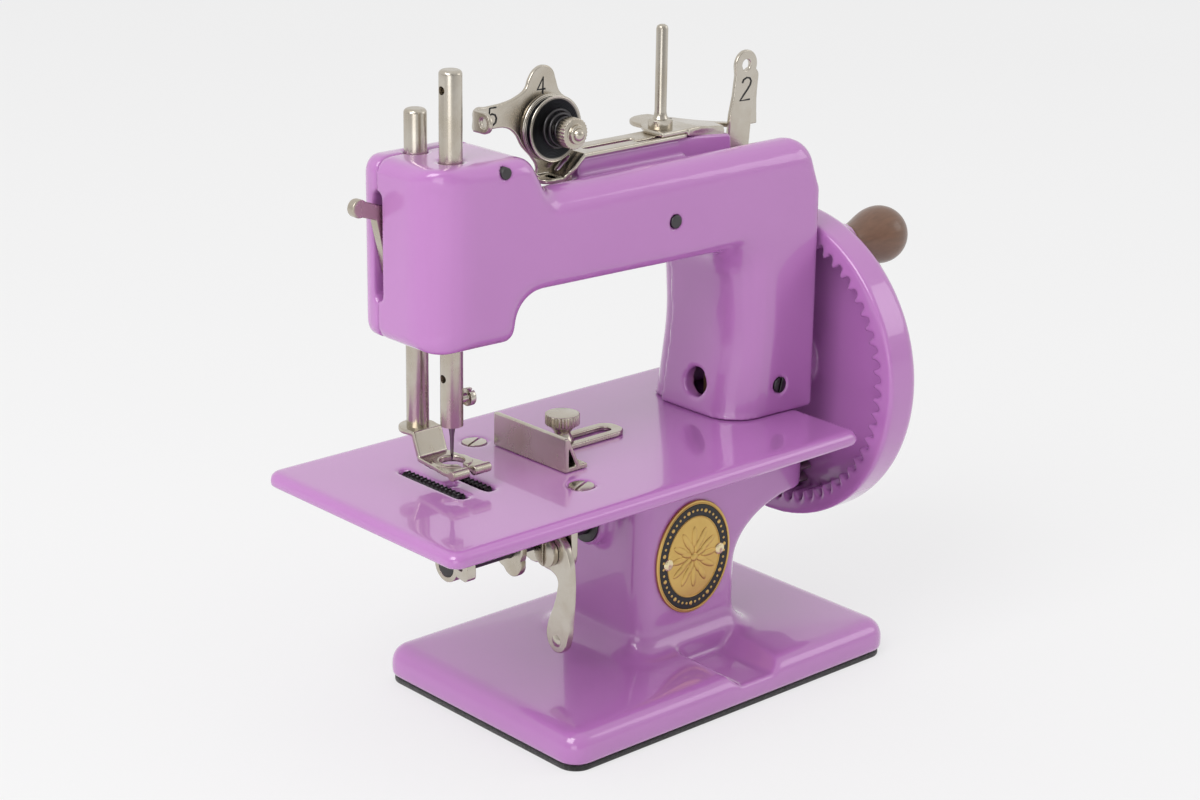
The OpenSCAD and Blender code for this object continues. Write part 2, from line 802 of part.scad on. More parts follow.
module arm_front() {
  color(orchid) difference() {
    union() {
      difference() {
        arm_front_shape();
        arm_hollow(arm_cavity_y, arm_step_y + over, lever_hollow);
        arm_hollow(arm_step_y, split_y + over, rear_hollow);
        box([pocket_x0, arm_step_y, pocket_low], [pocket_x1, pocket_y1, pocket_high]);
        box([waist_x + 2 * pillar_wall, pillar_cavity_y, bed_top - over],
          [pillar_right - wall, arm_cavity_y + over, arch_z]);
      }
      // Boss of the wheel axle and of its set screw
      x_rod(axle_boss_r, axle_boss_x, pillar_right - wall / 2, axle_y, axle_z);
      y_rod(set_head_r + wall / 2, face_y(set_screw_x) + wall, axle_y - axle_r, set_screw_x, axle_z);
      // Screw bosses at the pillar's foot
      for (y = pillar_screw_ys)
        z_rod(pillar_screw_boss, bed_top, bed_top + pillar_screw_up + wall, pillar_screw_x, y);
      // Rail under the thread strip
      box([rail_x0, rail_y0, rail_low], [rail_x1, rail_y1, strip_z]);
      // Post behind the lever's pivot
      y_rod(pivot_r + wall, lever_y1 + slide_gap, split_y, pivot_x, pivot_z);
    }
    arm_cuts();
    x_rod(axle_r + pin_fit, axle_boss_x - over, pillar_right + over, axle_y, axle_z);
    // Oil and screwdriver hole in line with the axle
    x_rod(window_r, heel_x - over, waist_x + pillar_wall + over, axle_y, axle_z);
    y_rod(set_screw_r + pin_fit, face_y(set_screw_x) - over, axle_y, set_screw_x, axle_z);
    y_rod(set_head_r + pin_fit, face_y(set_screw_x) - over, face_y(set_screw_x) + set_head_t,
      set_screw_x, axle_z);
    for (y = pillar_screw_ys)
      z_rod(pillar_screw_r + pin_fit, bed_top - over, bed_top + pillar_screw_up, pillar_screw_x, y);
    // Slot in the top for the thread lever, and the spool pin's hole
    box([thread_slot_x0, thread_lever_y - thread_slot_gap, pocket_low],
      [thread_slot_x1, thread_lever_y + sheet_t + thread_slot_gap, strip_z]);
    z_rod(spool_shank_r + pin_fit, strip_z - spool_shank_l, strip_z + over, spool_x, spool_y);
  }
}

module arm_rear() {
  color(orchid) difference() {
    union() {
      difference() {
        arm_rear_shape();
        arm_hollow(split_y - over, arm_back - rear_wall, cover_hollow);
      }
      y_rod(pivot_r + wall, split_y, arm_back - rear_wall / 2, pivot_x, pivot_z);
    }
    arm_cuts();
  }
}

base_rect = [-base_l / 2, base_l / 2, -base_w / 2, base_w / 2, base_corner_r];
column_rect = [-column_left, column_right, -column_front, column_back, column_r];
bed_rect = [bed_right - bed_l, bed_right, -bed_w / 2, bed_w / 2, bed_corner_r];
function flare_rect(a) =
  [-column_left, column_right + flare_reach * (1 - cos(a)), -column_front, column_back, column_r];

module base_shape() {
  skin(concat(
    [level(grown(base_rect, -base_lip), felt_t)],
    [level(base_rect, felt_t + base_lip)],
    [for (s = [0 : edge_steps]) let(a = 90 * s / edge_steps)
      level(grown(base_rect, -base_edge_r * (1 - cos(a))), base_top - base_edge_r * (1 - sin(a)))],
    [for (s = [0 : edge_steps]) let(a = 90 * s / edge_steps)
      level(grown(column_rect, foot_r * (1 - sin(a))), base_top + base_crown + foot_r * (1 - cos(a)))],
    [for (s = [0 : 2 * edge_steps]) let(a = 45 * s / edge_steps)
      level(flare_rect(a), flare_z + flare_h * sin(a))],
    [level(flare_rect(90), bed_under + cast_seat)]));
}
module bed_shape() {
  skin(concat(
    [for (s = [0 : edge_steps / 2]) let(a = 180 * s / edge_steps)
      level(grown(bed_rect, -bed_low_r * (1 - sin(a))), bed_under + bed_low_r * (1 - cos(a)))],
    [for (s = [0 : edge_steps]) let(a = 90 * s / edge_steps)
      level(grown(bed_rect, -bed_edge_r * (1 - cos(a))), bed_top - bed_edge_r * (1 - sin(a)))]));
}
// Trough in the front of the base for a table clamp
module clamp_seat() {
  floor_z = base_top - clamp_floor_drop;
  side = clamp_h * clamp_side_share;
  y_plate(-base_w / 2 - over, -column_front - clamp_back_in)
    polygon([[clamp_left, floor_z], [clamp_right, floor_z],
      [clamp_right + side, floor_z + clamp_h], [clamp_left - side, floor_z + clamp_h]]);
}
module bed_cuts() {
  for (x = feed_xs)
    box([x - feed_slot_w / 2, feed_y0 - feed_slot_gap, bed_under - over],
      [x + feed_slot_w / 2, feed_y0 + feed_l + feed_slot_gap, bed_top + over]);
  z_rod(needle_hole_r, bed_under - over, bed_top + over, needle_x, needle_y);
  for (s = [-1, 1]) {
    z_rod(bed_screw_r + pin_fit, bed_under - over, bed_top, bed_screw_x, s * bed_screw_y);
    z_rod(bed_head_r + pin_fit, bed_top - bed_head_t, bed_top + over, bed_screw_x, s * bed_screw_y);
    z_rod(feed_screw_r + pin_fit, bed_under - over, bed_under + feed_screw_in, feed_screw_x,
      feed_mid + s * feed_screw_gap / 2);
  }
  z_rod(thumb_shank_r + run_fit, bed_under - over, bed_top + over, thumb_x, guide_y);
  box([pitman_x0 - pitman_gap, axle_y - pitman_half - pitman_gap, bed_under - over],
    [pitman_x1 + pitman_gap, axle_y + pitman_half + pitman_gap, bed_top + over]);
  for (y = pillar_screw_ys)
    z_rod(pillar_screw_r + pin_fit, bed_under - over, bed_top + over, pillar_screw_x, y);
}
// Bearing outline round a shaft, carried up to the bed
module hanger(r, z, top) {
  translate([axle_y, z]) circle(r);
  translate([axle_y - r, z]) square([2 * r, top - z]);
}
module base_casting() {
  color(orchid) difference() {
    union() {
      difference() {
        union() {
          base_shape();
          bed_shape();
        }
        box([-base_l / 2 + base_rim_w, -base_w / 2 + base_rim_w, 0],
          [base_l / 2 - base_rim_w, base_w / 2 - base_rim_w, felt_t + base_hollow_h]);
        box([-column_left + wall, -column_front + wall, 0],
          [column_right - wall, column_back - wall, bed_under]);
        box([column_right - 2 * wall, -column_front + wall, flare_open_z],
          [flare_end_x - wall, column_back - wall, bed_under]);
        clamp_seat();
      }
      x_rod(shaft_boss_r, shaft_boss_x, flare_end_x, axle_y, shaft_z);
      box([shaft_boss_x, axle_y - wall / 2, shaft_z],
        [flare_end_x - wall / 2, axle_y + wall / 2, bed_under + cast_seat]);
      x_plate(lug_x, -column_left + wall) hanger(lug_r, looper_z, bed_under + cast_seat);
    }
    bed_cuts();
    x_rod(shaft_r + bush_wall + pin_fit, shaft_boss_x - over, flare_end_x + over, axle_y, shaft_z);
    x_rod(looper_shaft_r + bush_wall + pin_fit, lug_x - over, -column_left + wall + over, axle_y, looper_z);
    for (s = [-1, 1])
      y_rod(rivet_r + pin_fit, -column_front - over, -column_front + wall,
        medal_x + s * rivet_reach, medal_z);
  }
}
module base_felt() {
  color(black) z_plate(0, felt_t)
    rounded(-base_l / 2 + base_lip, base_l / 2 - base_lip, -base_w / 2 + base_lip, base_w / 2 - base_lip,
      base_corner_r - base_lip);
}

module medallion() {
  color(brass) difference() {
    y_plate(-column_front - medal_t, -column_front) translate([medal_x, medal_z])
      polygon([for (i = [0 : 71]) [medal_w / 2 * cos(5 * i), medal_h / 2 * sin(5 * i)]]);
    for (s = [-1, 1])
      y_rod(rivet_r + pin_fit, -column_front - medal_t - over, -column_front + over,
        medal_x + s * rivet_reach, medal_z);
  }
}
module medallion_rivets() {
  color(brass) for (s = [-1, 1])
    y_turned(medal_x + s * rivet_reach, -column_front + rivet_l, medal_z)
      polygon(concat([[0, 0], [rivet_r, 0], [rivet_r, rivet_l + medal_t], [rivet_head_r, rivet_l + medal_t]],
        [for (a = [30 : 30 : 90])
          [rivet_head_r * cos(a), rivet_l + medal_t + rivet_head_t * sin(a)]]));
}

// Flush or cheese-headed screw along Z with a slot, head at the top
module slotted_screw(shank_r, shank_l, head_r, head_t) {
  difference() {
    union() {
      translate([0, 0, -shank_l]) cylinder(r = shank_r, h = shank_l);
      cylinder(r = head_r, h = head_t);
    }
    translate([-head_r - over, -slot_w / 2, head_t - slot_d])
      cube([2 * head_r + 2 * over, slot_w, slot_d + over]);
  }
}
module bed_screws() {
  color(nickel) for (s = [-1, 1])
    translate([bed_screw_x, s * bed_screw_y, bed_top - bed_head_t]) rotate([0, 0, slot_turn])
      slotted_screw(bed_screw_r, bed_top - bed_head_t - bracket_z0, bed_head_r, bed_head_t);
}
module pillar_screws() {
  color(steel) for (y = pillar_screw_ys)
    translate([pillar_screw_x, y, bed_under]) rotate([180, 0, 0])
      slotted_screw(pillar_screw_r, bed_t + pillar_screw_up - slide_gap, pillar_screw_head_r,
        pillar_screw_head_t);
}
module lever_pivot_screw() { color(dark) y_rod(pivot_r, face_y(pivot_x), pin_seat_y, pivot_x, pivot_z); }
module head_pin() {
  color(dark) y_rod(head_pin_r, face_y(head_pin_x), pin_seat_y, head_pin_x, head_top_z - head_pin_drop);
}
module axle_set_screw() {
  color(steel) translate([set_screw_x, face_y(set_screw_x) + set_head_t, axle_z]) rotate([90, 0, 0])
    rotate([0, 0, 3 * slot_turn])
      slotted_screw(set_screw_r, axle_y - axle_r - face_y(set_screw_x) - set_head_t, set_head_r, set_head_t);
}

// Half the angle that a tooth takes up at radius r, for a tooth of share tooth_share at the pitch circle
function involute(a) = tan(a) * 180 / PI - a;
function tooth_half(r, pitch, teeth) =
  let(base = pitch * cos(pressure_angle))
  180 * tooth_share / teeth + involute(pressure_angle) - involute(acos(min(1, base / r)));
flank_shares = [0, 0.35, 0.7, 1];
// Outline of the pinion: involute flanks above the base circle, straight below it
function pinion_outline() =
  let(tip = pinion_pitch_r + addendum_share * gear_module,
      root = pinion_pitch_r - dedendum_share * gear_module,
      base = max(root, pinion_pitch_r * cos(pressure_angle)),
      foot = tooth_half(base, pinion_pitch_r, pinion_teeth))
  [for (k = [0 : pinion_teeth - 1]) let(mid = 360 * k / pinion_teeth)
    each concat([root * [cos(mid - foot), sin(mid - foot)]],
      [for (s = flank_shares) let(r = base + s * (tip - base),
          h = tooth_half(r, pinion_pitch_r, pinion_teeth))
        r * [cos(mid - h), sin(mid - h)]],
      [for (s = [3 : -1 : 0]) let(r = base + flank_shares[s] * (tip - base),
          h = tooth_half(r, pinion_pitch_r, pinion_teeth))
        r * [cos(mid + h), sin(mid + h)]],
      [root * [cos(mid + foot), sin(mid + foot)]])];
// Hole outline of the inner teeth: the spaces of this ring are thinner teeth turned outwards
function ring_outline() =
  let(tip = pitch_r - addendum_share * gear_module, root = pitch_r + dedendum_share * gear_module)
  [for (k = [0 : wheel_teeth - 1]) let(mid = 360 * k / wheel_teeth)
    each [for (q = [[tip, -1], [pitch_r, -1], [root, -1], [root, 1], [pitch_r, 1], [tip, 1]])
      let(half = 180 * (1 - tooth_share) / wheel_teeth + involute(pressure_angle)
          - involute(acos(pitch_r * cos(pressure_angle) / q[0])), a = mid + q[1] * half)
      q[0] * [cos(a), sin(a)]]];

module handwheel() {
  color(orchid) difference() {
    union() {
      // Dished body, drawn as radius and width
      x_turned(wheel_x0, axle_y, axle_z) difference() {
        union() {
          translate([0, wheel_lip_r]) square([wheel_r, wheel_w - wheel_edge_r - wheel_lip_r]);
          square([wheel_r - wheel_lip_r, wheel_w]);
          translate([wheel_r - wheel_lip_r, wheel_lip_r]) circle(wheel_lip_r);
          translate([wheel_r - wheel_edge_r, wheel_w - wheel_edge_r]) circle(wheel_edge_r);
        }
        translate([wheel_r - wheel_edge_r, wheel_w - wheel_edge_r]) difference() {
          square(2 * wheel_edge_r);
          circle(wheel_edge_r);
        }
        translate([0, -over]) square([pitch_r - 2 * gear_module, web_x0 - wheel_x0 + over]);
      }
      x_rod(hub_r, hub_x0, wheel_x1, axle_y, axle_z);
      x_rod(handle_boss_r, web_x0, wheel_x1 + handle_boss_t, handle_y, handle_z);
    }
    x_plate(wheel_x0 - over, web_x0) translate([axle_y, axle_z]) rotate(-90) difference() {
      polygon(ring_outline());
      circle(hub_r);
    }
    x_rod(axle_r + run_fit, hub_x0 - over, wheel_x1 + over, axle_y, axle_z);
    x_rod(handle_pin_r + pin_fit, web_x0 - over, wheel_x1 + handle_boss_t + over, handle_y, handle_z);
  }
}
module wheel_axle() {
  color(brass) difference() {
    x_rod(axle_r, axle_left, wheel_x1 + body_gap + nut_t, axle_y, axle_z);
    box([axle_left - over, axle_y - slot_w / 2, axle_z - axle_r - over],
      [axle_left + slot_d, axle_y + slot_w / 2, axle_z + axle_r + over]);
  }
}
module wheel_washer() {
  color(nickel) difference() {
    x_rod(washer_r, pillar_right, pillar_right + washer_t, axle_y, axle_z);
    x_rod(axle_r + pin_fit, pillar_right - over, pillar_right + washer_t + over, axle_y, axle_z);
  }
}
module axle_nut() {
  color(nickel) difference() {
    translate([wheel_x1 + body_gap, axle_y, axle_z]) rotate([0, 90, 0])
      cylinder(r = nut_r, h = nut_t, $fn = 6);
    x_rod(axle_r + pin_fit, wheel_x1 - over, wheel_x1 + body_gap + nut_t + over, axle_y, axle_z);
  }
}
// Turned handle: narrow neck swelling to a round bulb
module crank_handle() {
  bulb_x = handle_l - handle_r;
  color(brown) difference() {
    x_turned(handle_x0, handle_y, handle_z) polygon(concat([[0, 0], [handle_neck_r, 0]],
      [for (s = [1 : 8]) let(t = s / 9, w = (1 - cos(180 * t)) / 2)
        [handle_neck_r + (handle_r - handle_neck_r) * w, bulb_x * t]],
      [for (a = [0 : 10 : 80]) [handle_r * cos(a), bulb_x + handle_r * sin(a)]],
      [[0, handle_l]]));
    x_rod(handle_pin_r + run_fit, handle_x0 - over, handle_x0 + handle_l - handle_bore_end + over,
      handle_y, handle_z);
  }
}
module handle_pin() {
  color(nickel) x_rod(handle_pin_r, web_x0, handle_x0 + handle_l - handle_bore_end, handle_y, handle_z);
}

module drive_pinion() {
  color(steel) difference() {
    x_plate(pinion_x0, pinion_x1) translate([axle_y, shaft_z]) rotate(-90) polygon(pinion_outline());
    x_rod(shaft_r + pin_fit, pinion_x0 - over, pinion_x1 + over, axle_y, shaft_z);
  }
}
module pinion_shaft() { color(steel) x_rod(shaft_r, crank_x0, pinion_x1, axle_y, shaft_z); }
// Bush with a thin flange on its outer end
module bush(x0, x1, r, z, flange_x) {
  difference() {
    union() {
      x_rod(r + bush_wall, x0, x1, axle_y, z);
      x_rod(r + 2 * bush_wall, flange_x, flange_x + bush_flange, axle_y, z);
    }
    x_rod(r + run_fit, min(x0, flange_x) - over, max(x1, flange_x + bush_flange) + over, axle_y, z);
  }
}
module shaft_bushes() {
  color(brass) bush(shaft_boss_x, flare_end_x + bush_flange, shaft_r, shaft_z, flare_end_x);
}
module looper_bush() {
  color(brass) bush(lug_x - bush_flange, -column_left + wall, looper_shaft_r, looper_z, lug_x - bush_flange);
}
module crank_disc() {
  color(steel) {
    difference() {
      x_rod(crank_disc_r, crank_x0, crank_x0 + crank_t, axle_y, shaft_z);
      x_rod(shaft_r + pin_fit, crank_x0 - over, crank_x0 + crank_t + over, axle_y, shaft_z);
    }
    x_rod(crank_pin_r, crank_x0 - crank_pin_l, crank_x0 + crank_t / 2, pin_rest_y, pin_rest_z);
  }
}
// Slotted yoke at the crank, and a flat stem up through bed and pillar to the needle lever
module pitman() {
  slot_half = crank_r + body_gap;
  rocker_y = axle_y - rocker_reach;
  yoke_left = rocker_y - rocker_pin_r - yoke_rim / 2;
  yoke_right = axle_y + slot_half + crank_pin_r + slot_fit + yoke_rim;
  low = pin_rest_z - crank_pin_r - slot_fit - yoke_rim;
  color(brass) {
    difference() {
      x_plate(pitman_x0, pitman_x1) {
        translate([yoke_left, low]) square([yoke_right - yoke_left, yoke_h]);
        translate([axle_y - pitman_half, low]) square([2 * pitman_half, pitman_pin_z + pitman_top_r - low]);
      }
      x_plate(pitman_x0 - over, pitman_x1 + over)
        bar([axle_y - slot_half, pin_rest_z], [axle_y + slot_half, pin_rest_z], crank_pin_r + slot_fit);
    }
    y_rod(stud_r, lever_y0 - stud_tip, axle_y - pitman_half / 2, pitman_x, pitman_pin_z);
    x_rod(rocker_pin_r, rocker_x0, pitman_x, rocker_y, looper_z);
  }
}

// Rocking lever in front of the needle bar, slotted at the needle bar's stud and at the pitman's pin
module needle_lever() {
  fork = stud_r + slot_fit;
  slide = fork_half_l - fork - fork_rim / 2;
  tail = [lever_tail_x, pivot_z - lever_tail_drop];
  color(steel) difference() {
    y_plate(lever_y0, lever_y1) {
      translate([pivot_x, pivot_z]) circle(lever_hub_r);
      bar([pivot_x, pivot_z], [needle_x + fork_half_l, stud_z], lever_half);
      bar([pivot_x, pivot_z], [pitman_x - fork_half_l, pitman_pin_z], lever_half);
      translate([needle_x - fork_half_l, stud_z - fork - fork_rim])
        square(2 * [fork_half_l, fork + fork_rim]);
      translate([pitman_x - fork_half_l, pitman_pin_z - fork - fork_rim])
        square(2 * [fork_half_l, fork + fork_rim]);
      bar([pitman_x + fork_half_l - lever_half / 2, pitman_pin_z - fork], tail, lever_half);
    }
    y_plate(lever_y0 - over, lever_y1 + over) {
      bar([needle_x - slide, stud_z], [needle_x + slide, stud_z], fork);
      bar([pitman_x - slide, pitman_pin_z], [pitman_x + slide, pitman_pin_z], fork);
    }
    y_rod(pivot_r + run_fit, lever_y0 - over, lever_y1 + over, pivot_x, pivot_z);
  }
}
// Upright thread lever on a foot that reaches forward to the needle lever's tail
module thread_lever() {
  left = thread_lever_x - thread_lever_w / 2;
  right = thread_lever_x + thread_lever_w / 2;
  top = [thread_lever_x + thread_lever_lean, thread_lever_top - thread_top_r];
  foot_z = pivot_z - thread_foot_drop;
  color(nickel) {
    y_plate(thread_lever_y, thread_lever_y + sheet_t) difference() {
      union() {
        polygon([[left, foot_z], [right, foot_z], [right, arm_top_z],
          top + [thread_top_r, 0], top - [thread_top_r, 0], [left, arm_top_z]]);
        translate(top) circle(thread_top_r);
      }
      translate(top) circle(thread_eye_r);
    }
    box([left, lever_y1, foot_z], [right, thread_lever_y + sheet_t / 2, foot_z + sheet_t]);
    box([left, lever_y1, foot_z], [right, lever_y1 + sheet_t, foot_z + thread_tab_h]);
  }
}

// Bar with a domed top, drilled across for the thread
module domed_bar(r, z0, z1, x, y) {
  translate([x, y, z0]) rotate_extrude() polygon(concat([[0, 0], [r, 0]],
    [for (a = [0 : 15 : 75]) [r - bar_tip_r + bar_tip_r * cos(a), z1 - z0 - bar_tip_r + bar_tip_r * sin(a)]],
    [[r - bar_tip_r, z1 - z0], [0, z1 - z0]]));
}
needle_top = head_top_z + needle_bar_up;
module needle_bar() {
  color(nickel) difference() {
    domed_bar(needle_bar_r, needle_bar_low, needle_top, needle_x, needle_y);
    for (z = [needle_top - eye_drop, low_eye_z])
      x_rod(eye_r, needle_x - needle_bar_r - over, needle_x + needle_bar_r + over, needle_y, z);
    z_rod(needle_r + pin_fit, needle_bar_low - over, needle_bar_low + needle_seat, needle_x, needle_y);
    x_rod(clamp_screw_r + pin_fit, needle_x, needle_x + needle_bar_r + over, needle_y, clamp_z);
  }
}
module needle_collar() {
  color(steel) {
    difference() {
      z_rod(drive_collar_r, stud_z - drive_collar_half, stud_z + drive_collar_half, needle_x, needle_y);
      z_rod(needle_bar_r + pin_fit, stud_z - 2 * drive_collar_half, stud_z + 2 * drive_collar_half,
        needle_x, needle_y);
    }
    y_rod(stud_r, lever_y0 - stud_tip, needle_y - needle_bar_r - pin_fit - fork_rim / 4, needle_x, stud_z);
  }
}
module needle() {
  tip_z = bed_top + needle_tip_h;
  color(steel) translate([needle_x, needle_y, tip_z]) rotate_extrude()
    polygon([[0, 0], [needle_tip_r, 0], [needle_r / 2, needle_point],
      [needle_r, needle_bar_low - tip_z], [needle_r, needle_bar_low - tip_z + needle_seat],
      [0, needle_bar_low - tip_z + needle_seat]]);
}
module needle_screw() {
  color(nickel) translate([needle_x + needle_bar_r + clamp_neck_l, needle_y, clamp_z]) rotate([0, 90, 0])
    rotate([0, 0, slot_turn])
      slotted_screw(clamp_screw_r, clamp_neck_l + needle_bar_r - needle_r - pin_fit,
        clamp_head_r, clamp_head_t);
}

foot_z = bed_top + foot_lift;
presser_low = foot_z + foot_step_h;
module presser_bar() {
  color(nickel) domed_bar(presser_bar_r, presser_low, head_top_z + presser_bar_up, needle_x, presser_y);
}
module presser_collar() {
  color(steel) difference() {
    union() {
      z_rod(collar_r, collar_z0, collar_z1, needle_x, presser_y);
      box([lifter_x - tab_left, presser_y - tab_half, collar_z0],
        [needle_x, presser_y + tab_half, collar_z1]);
    }
    z_rod(presser_bar_r + pin_fit, collar_z0 - over, collar_z1 + over, needle_x, presser_y);
  }
}
// Wound spring along Z: one tube whose radius runs from r0 to r1, with flat-lying first and last turns
function coil_ring(t, turns, r, z, wire) =
  [for (i = [0 : spring_sides - 1]) let(b = 360 * i / spring_sides, a = 360 * turns * t)
    [(r + wire * cos(b)) * cos(a), (r + wire * cos(b)) * sin(a), z + wire * sin(b)]];
module coil(turns, r0, r1, length, wire) {
  n = turns * spring_rings;
  skin([for (k = [0 : n]) let(t = 1 - k / n)
    coil_ring(t, turns, r0 + (r1 - r0) * t, wire + (length - 2 * wire) * t, wire)]);
}
function coil_gap(turns, r0, r1, length, wire) =
  norm([(r1 - r0) / turns, (length - 2 * wire) / turns]) - 2 * wire;
presser_spring_l = head_top_z - head_roof - collar_z1 - 2 * slide_gap;
module presser_spring() {
  echo(presser_spring_gap = coil_gap(spring_turns, spring_r, spring_r, presser_spring_l, spring_wire));
  color(steel) translate([needle_x, presser_y, collar_z1 + slide_gap])
    coil(spring_turns, spring_r, spring_r, presser_spring_l, spring_wire);
}
// Folded sheet foot: collar on the bar, a step down, and a ring round the needle with a slit and rolled toe
module presser_foot() {
  front_y = needle_y - foot_front;
  heel_y = presser_y - foot_heel;
  top_z = foot_z + foot_step_h;
  half = foot_shank_w / 2;
  color(nickel) difference() {
    union() {
      z_rod(foot_collar_r, top_z - presser_foot_t, top_z + foot_collar_h, needle_x, presser_y);
      box([needle_x - half, heel_y - presser_foot_t, top_z - presser_foot_t],
        [needle_x + half, presser_y, top_z]);
      box([needle_x - half, heel_y - presser_foot_t, foot_z], [needle_x + half, heel_y, top_z]);
      box([needle_x - presser_foot_w / 2, front_y + foot_toe_r, foot_z],
        [needle_x + presser_foot_w / 2, heel_y, foot_z + presser_foot_t]);
      x_rod(foot_toe_r, needle_x - presser_foot_w / 2, needle_x + presser_foot_w / 2, front_y + foot_toe_r,
        foot_z + foot_toe_r);
    }
    z_rod(presser_bar_r + pin_fit, top_z, top_z + foot_collar_h + over, needle_x, presser_y);
    z_rod(foot_ring_r, foot_z - over, foot_z + foot_step_h / 2, needle_x, needle_y);
    box([needle_x - foot_slit / 2, front_y - over, foot_z - over],
      [needle_x + foot_slit / 2, needle_y, foot_z + foot_step_h / 2]);
  }
}
// Lever in the end slot of the head: a lobe under the collar's tab, and a thumb end outside
module presser_lifter() {
  bend = [lifter_x - lifter_bend_out, lifter_z + lifter_bend_up];
  tip = [-head_left - lifter_tip_out + lifter_tip_half, lifter_z + lifter_tip_up];
  color(nickel) difference() {
    y_plate(presser_y - lifter_t / 2, presser_y + lifter_t / 2) {
      translate([lifter_x, lifter_z]) circle(lifter_disc_r);
      bar([lifter_x, lifter_z], [lifter_x, lifter_z + lifter_lobe - lifter_lobe_half], lifter_lobe_half);
      bar([lifter_x - lifter_lobe_half, lifter_z], bend, lifter_arm_half);
      bar(bend, tip, lifter_arm_half);
      translate(tip) circle(lifter_tip_half);
    }
    y_rod(lifter_pin_r + run_fit, presser_y - lifter_t, presser_y + lifter_t, lifter_x, lifter_z);
  }
}
module lifter_pin() {
  color(steel) y_rod(lifter_pin_r, presser_y - lifter_slot_w / 2 - lifter_pin_l,
    presser_y + lifter_slot_w / 2 + lifter_pin_l, lifter_x, lifter_z);
}

// Slotted strip along the arm's rail
module thread_strip() {
  mid = (strip_y0 + strip_y1) / 2;
  color(nickel) difference() {
    z_plate(strip_z, strip_z + sheet_t) rounded(strip_x0, strip_x1, strip_y0, strip_y1, strip_r);
    z_plate(strip_z - over, strip_z + sheet_t + over)
      bar([strip_slot_x - strip_slot_l / 2, mid], [strip_slot_x + strip_slot_l / 2, mid], strip_slot_w / 2);
    z_rod(spool_shank_r + pin_fit, strip_z - over, strip_z + sheet_t + over, spool_x, spool_y);
    disc_room();
  }
}
// Room round the tension discs
module disc_room() {
  y_rod(disc_r + body_gap, strip_y0 - over, disc_y + slide_gap / 2, tension_x, tension_z);
}
// Pear-shaped rest for the spool, with a leaf turned up behind the thread lever
module spool_plate() {
  color(nickel) difference() {
    union() {
      z_plate(plate_z, plate_z + sheet_t) {
        translate([pear_x, pear_y]) circle(pear_r);
        neck([spool_x, spool_y], [pear_x, pear_y], pear_nose_r);
        polygon([[pear_x + pear_r * pear_join_share, pear_y + pear_r * pear_join_share],
          [pear_tail_x, pear_tail_y0 + pear_tail_w], [pear_tail_x, pear_tail_y0], [pear_x, pear_tail_y0]]);
      }
      box([pear_tail_x - leaf_lap, pear_tail_y0, plate_z],
        [pear_tail_x + leaf_w, pear_tail_y0 + sheet_t, plate_z + leaf_h]);
    }
    z_rod(spool_shank_r + pin_fit, plate_z - over, plate_z + sheet_t + over, spool_x, spool_y);
    y_rod(thread_eye_r, pear_tail_y0 - over, pear_tail_y0 + sheet_t + over, pear_tail_x + leaf_w / 2,
      plate_z + leaf_h - leaf_w / 2);
  }
}
module spool_pin() {
  base_z = plate_z + sheet_t;
  color(nickel) {
    domed_bar(spool_pin_r, base_z + spool_base_h / 2, base_z + spool_pin_h, spool_x, spool_y);
    z_rod(spool_base_r, base_z, base_z + spool_base_h, spool_x, spool_y);
    z_rod(spool_shank_r, strip_z - spool_shank_l, base_z + spool_base_h / 2, spool_x, spool_y);
  }
}
// Upright plate with an upper lobe, a left lobe with a turned eyelet, and a leg down to the strip
module tension_bracket() {
  centre = [tension_x, tension_z];
  left = centre + [-five_l, five_rise];
  foot_z = strip_z + sheet_t;
  color(nickel) difference() {
    union() {
      y_plate(tension_y0, tension_y1) {
        translate(centre) circle(tension_round_r);
        bar(centre, centre + [four_lean, four_h], lobe_r);
        bar(centre, left, five_w / 2);
        translate([tension_x - leg_w / 2, foot_z]) square([leg_w, tension_z - foot_z]);
      }
      // Foot turned forward onto the strip
      box([tension_x - leg_w / 2, strip_y0 + strip_r / 2, foot_z],
        [tension_x + leg_w / 2, tension_y1, foot_z + sheet_t]);
      // Eyelet turned towards the needle
      x_rod(five_eye_r, left.x - five_w / 2 - sheet_t / 2, left.x - five_w / 2 + sheet_t / 2,
        tension_y0 - five_eye_r / 2, left.y);
    }
    y_rod(tension_stud_r + pin_fit, tension_y0 - over, tension_y1 + over, tension_x, tension_z);
    x_rod(thread_eye_r, left.x - five_w, left.x, tension_y0 - five_eye_r / 2 - sheet_t / 2, left.y);
    disc_room();
  }
}
module tension_stud() {
  color(steel) {
    y_rod(tension_stud_r, tension_y0 - tension_stud_l, tension_y1 + tension_tail, tension_x, tension_z);
    translate([tension_x, tension_y1 + tension_tail, tension_z]) rotate([90, 0, 0])
      cylinder(r = stud_nut_r, h = tension_tail, $fn = 6);
  }
}
// Two dished discs, rims turned away from each other
disc_y = tension_y0 - slide_gap;
module tension_disc() {
  rotate_extrude() polygon([[tension_stud_r + pin_fit, 0], [disc_r * disc_flat_share, 0], [disc_r, disc_dish],
    [disc_r, disc_dish + disc_t], [disc_r * disc_flat_share, disc_t], [tension_stud_r + pin_fit, disc_t]]);
}
module tension_discs() {
  low_y = disc_y - disc_dish - disc_t;
  color(dark) {
    translate([tension_x, low_y, tension_z]) rotate([-90, 0, 0]) tension_disc();
    translate([tension_x, low_y - disc_gap, tension_z]) rotate([90, 0, 0]) tension_disc();
  }
}
spring_y = disc_y - disc_dish - 2 * disc_t - disc_gap - slide_gap;
module tension_spring() {
  echo(tension_spring_gap = coil_gap(coil_turns, coil_big_r, coil_small_r, coil_l, coil_wire));
  color(dark) translate([tension_x, spring_y, tension_z]) rotate([90, 0, 0])
    coil(coil_turns, coil_big_r, coil_small_r, coil_l, coil_wire);
}
nut_y = spring_y - coil_l - slide_gap;
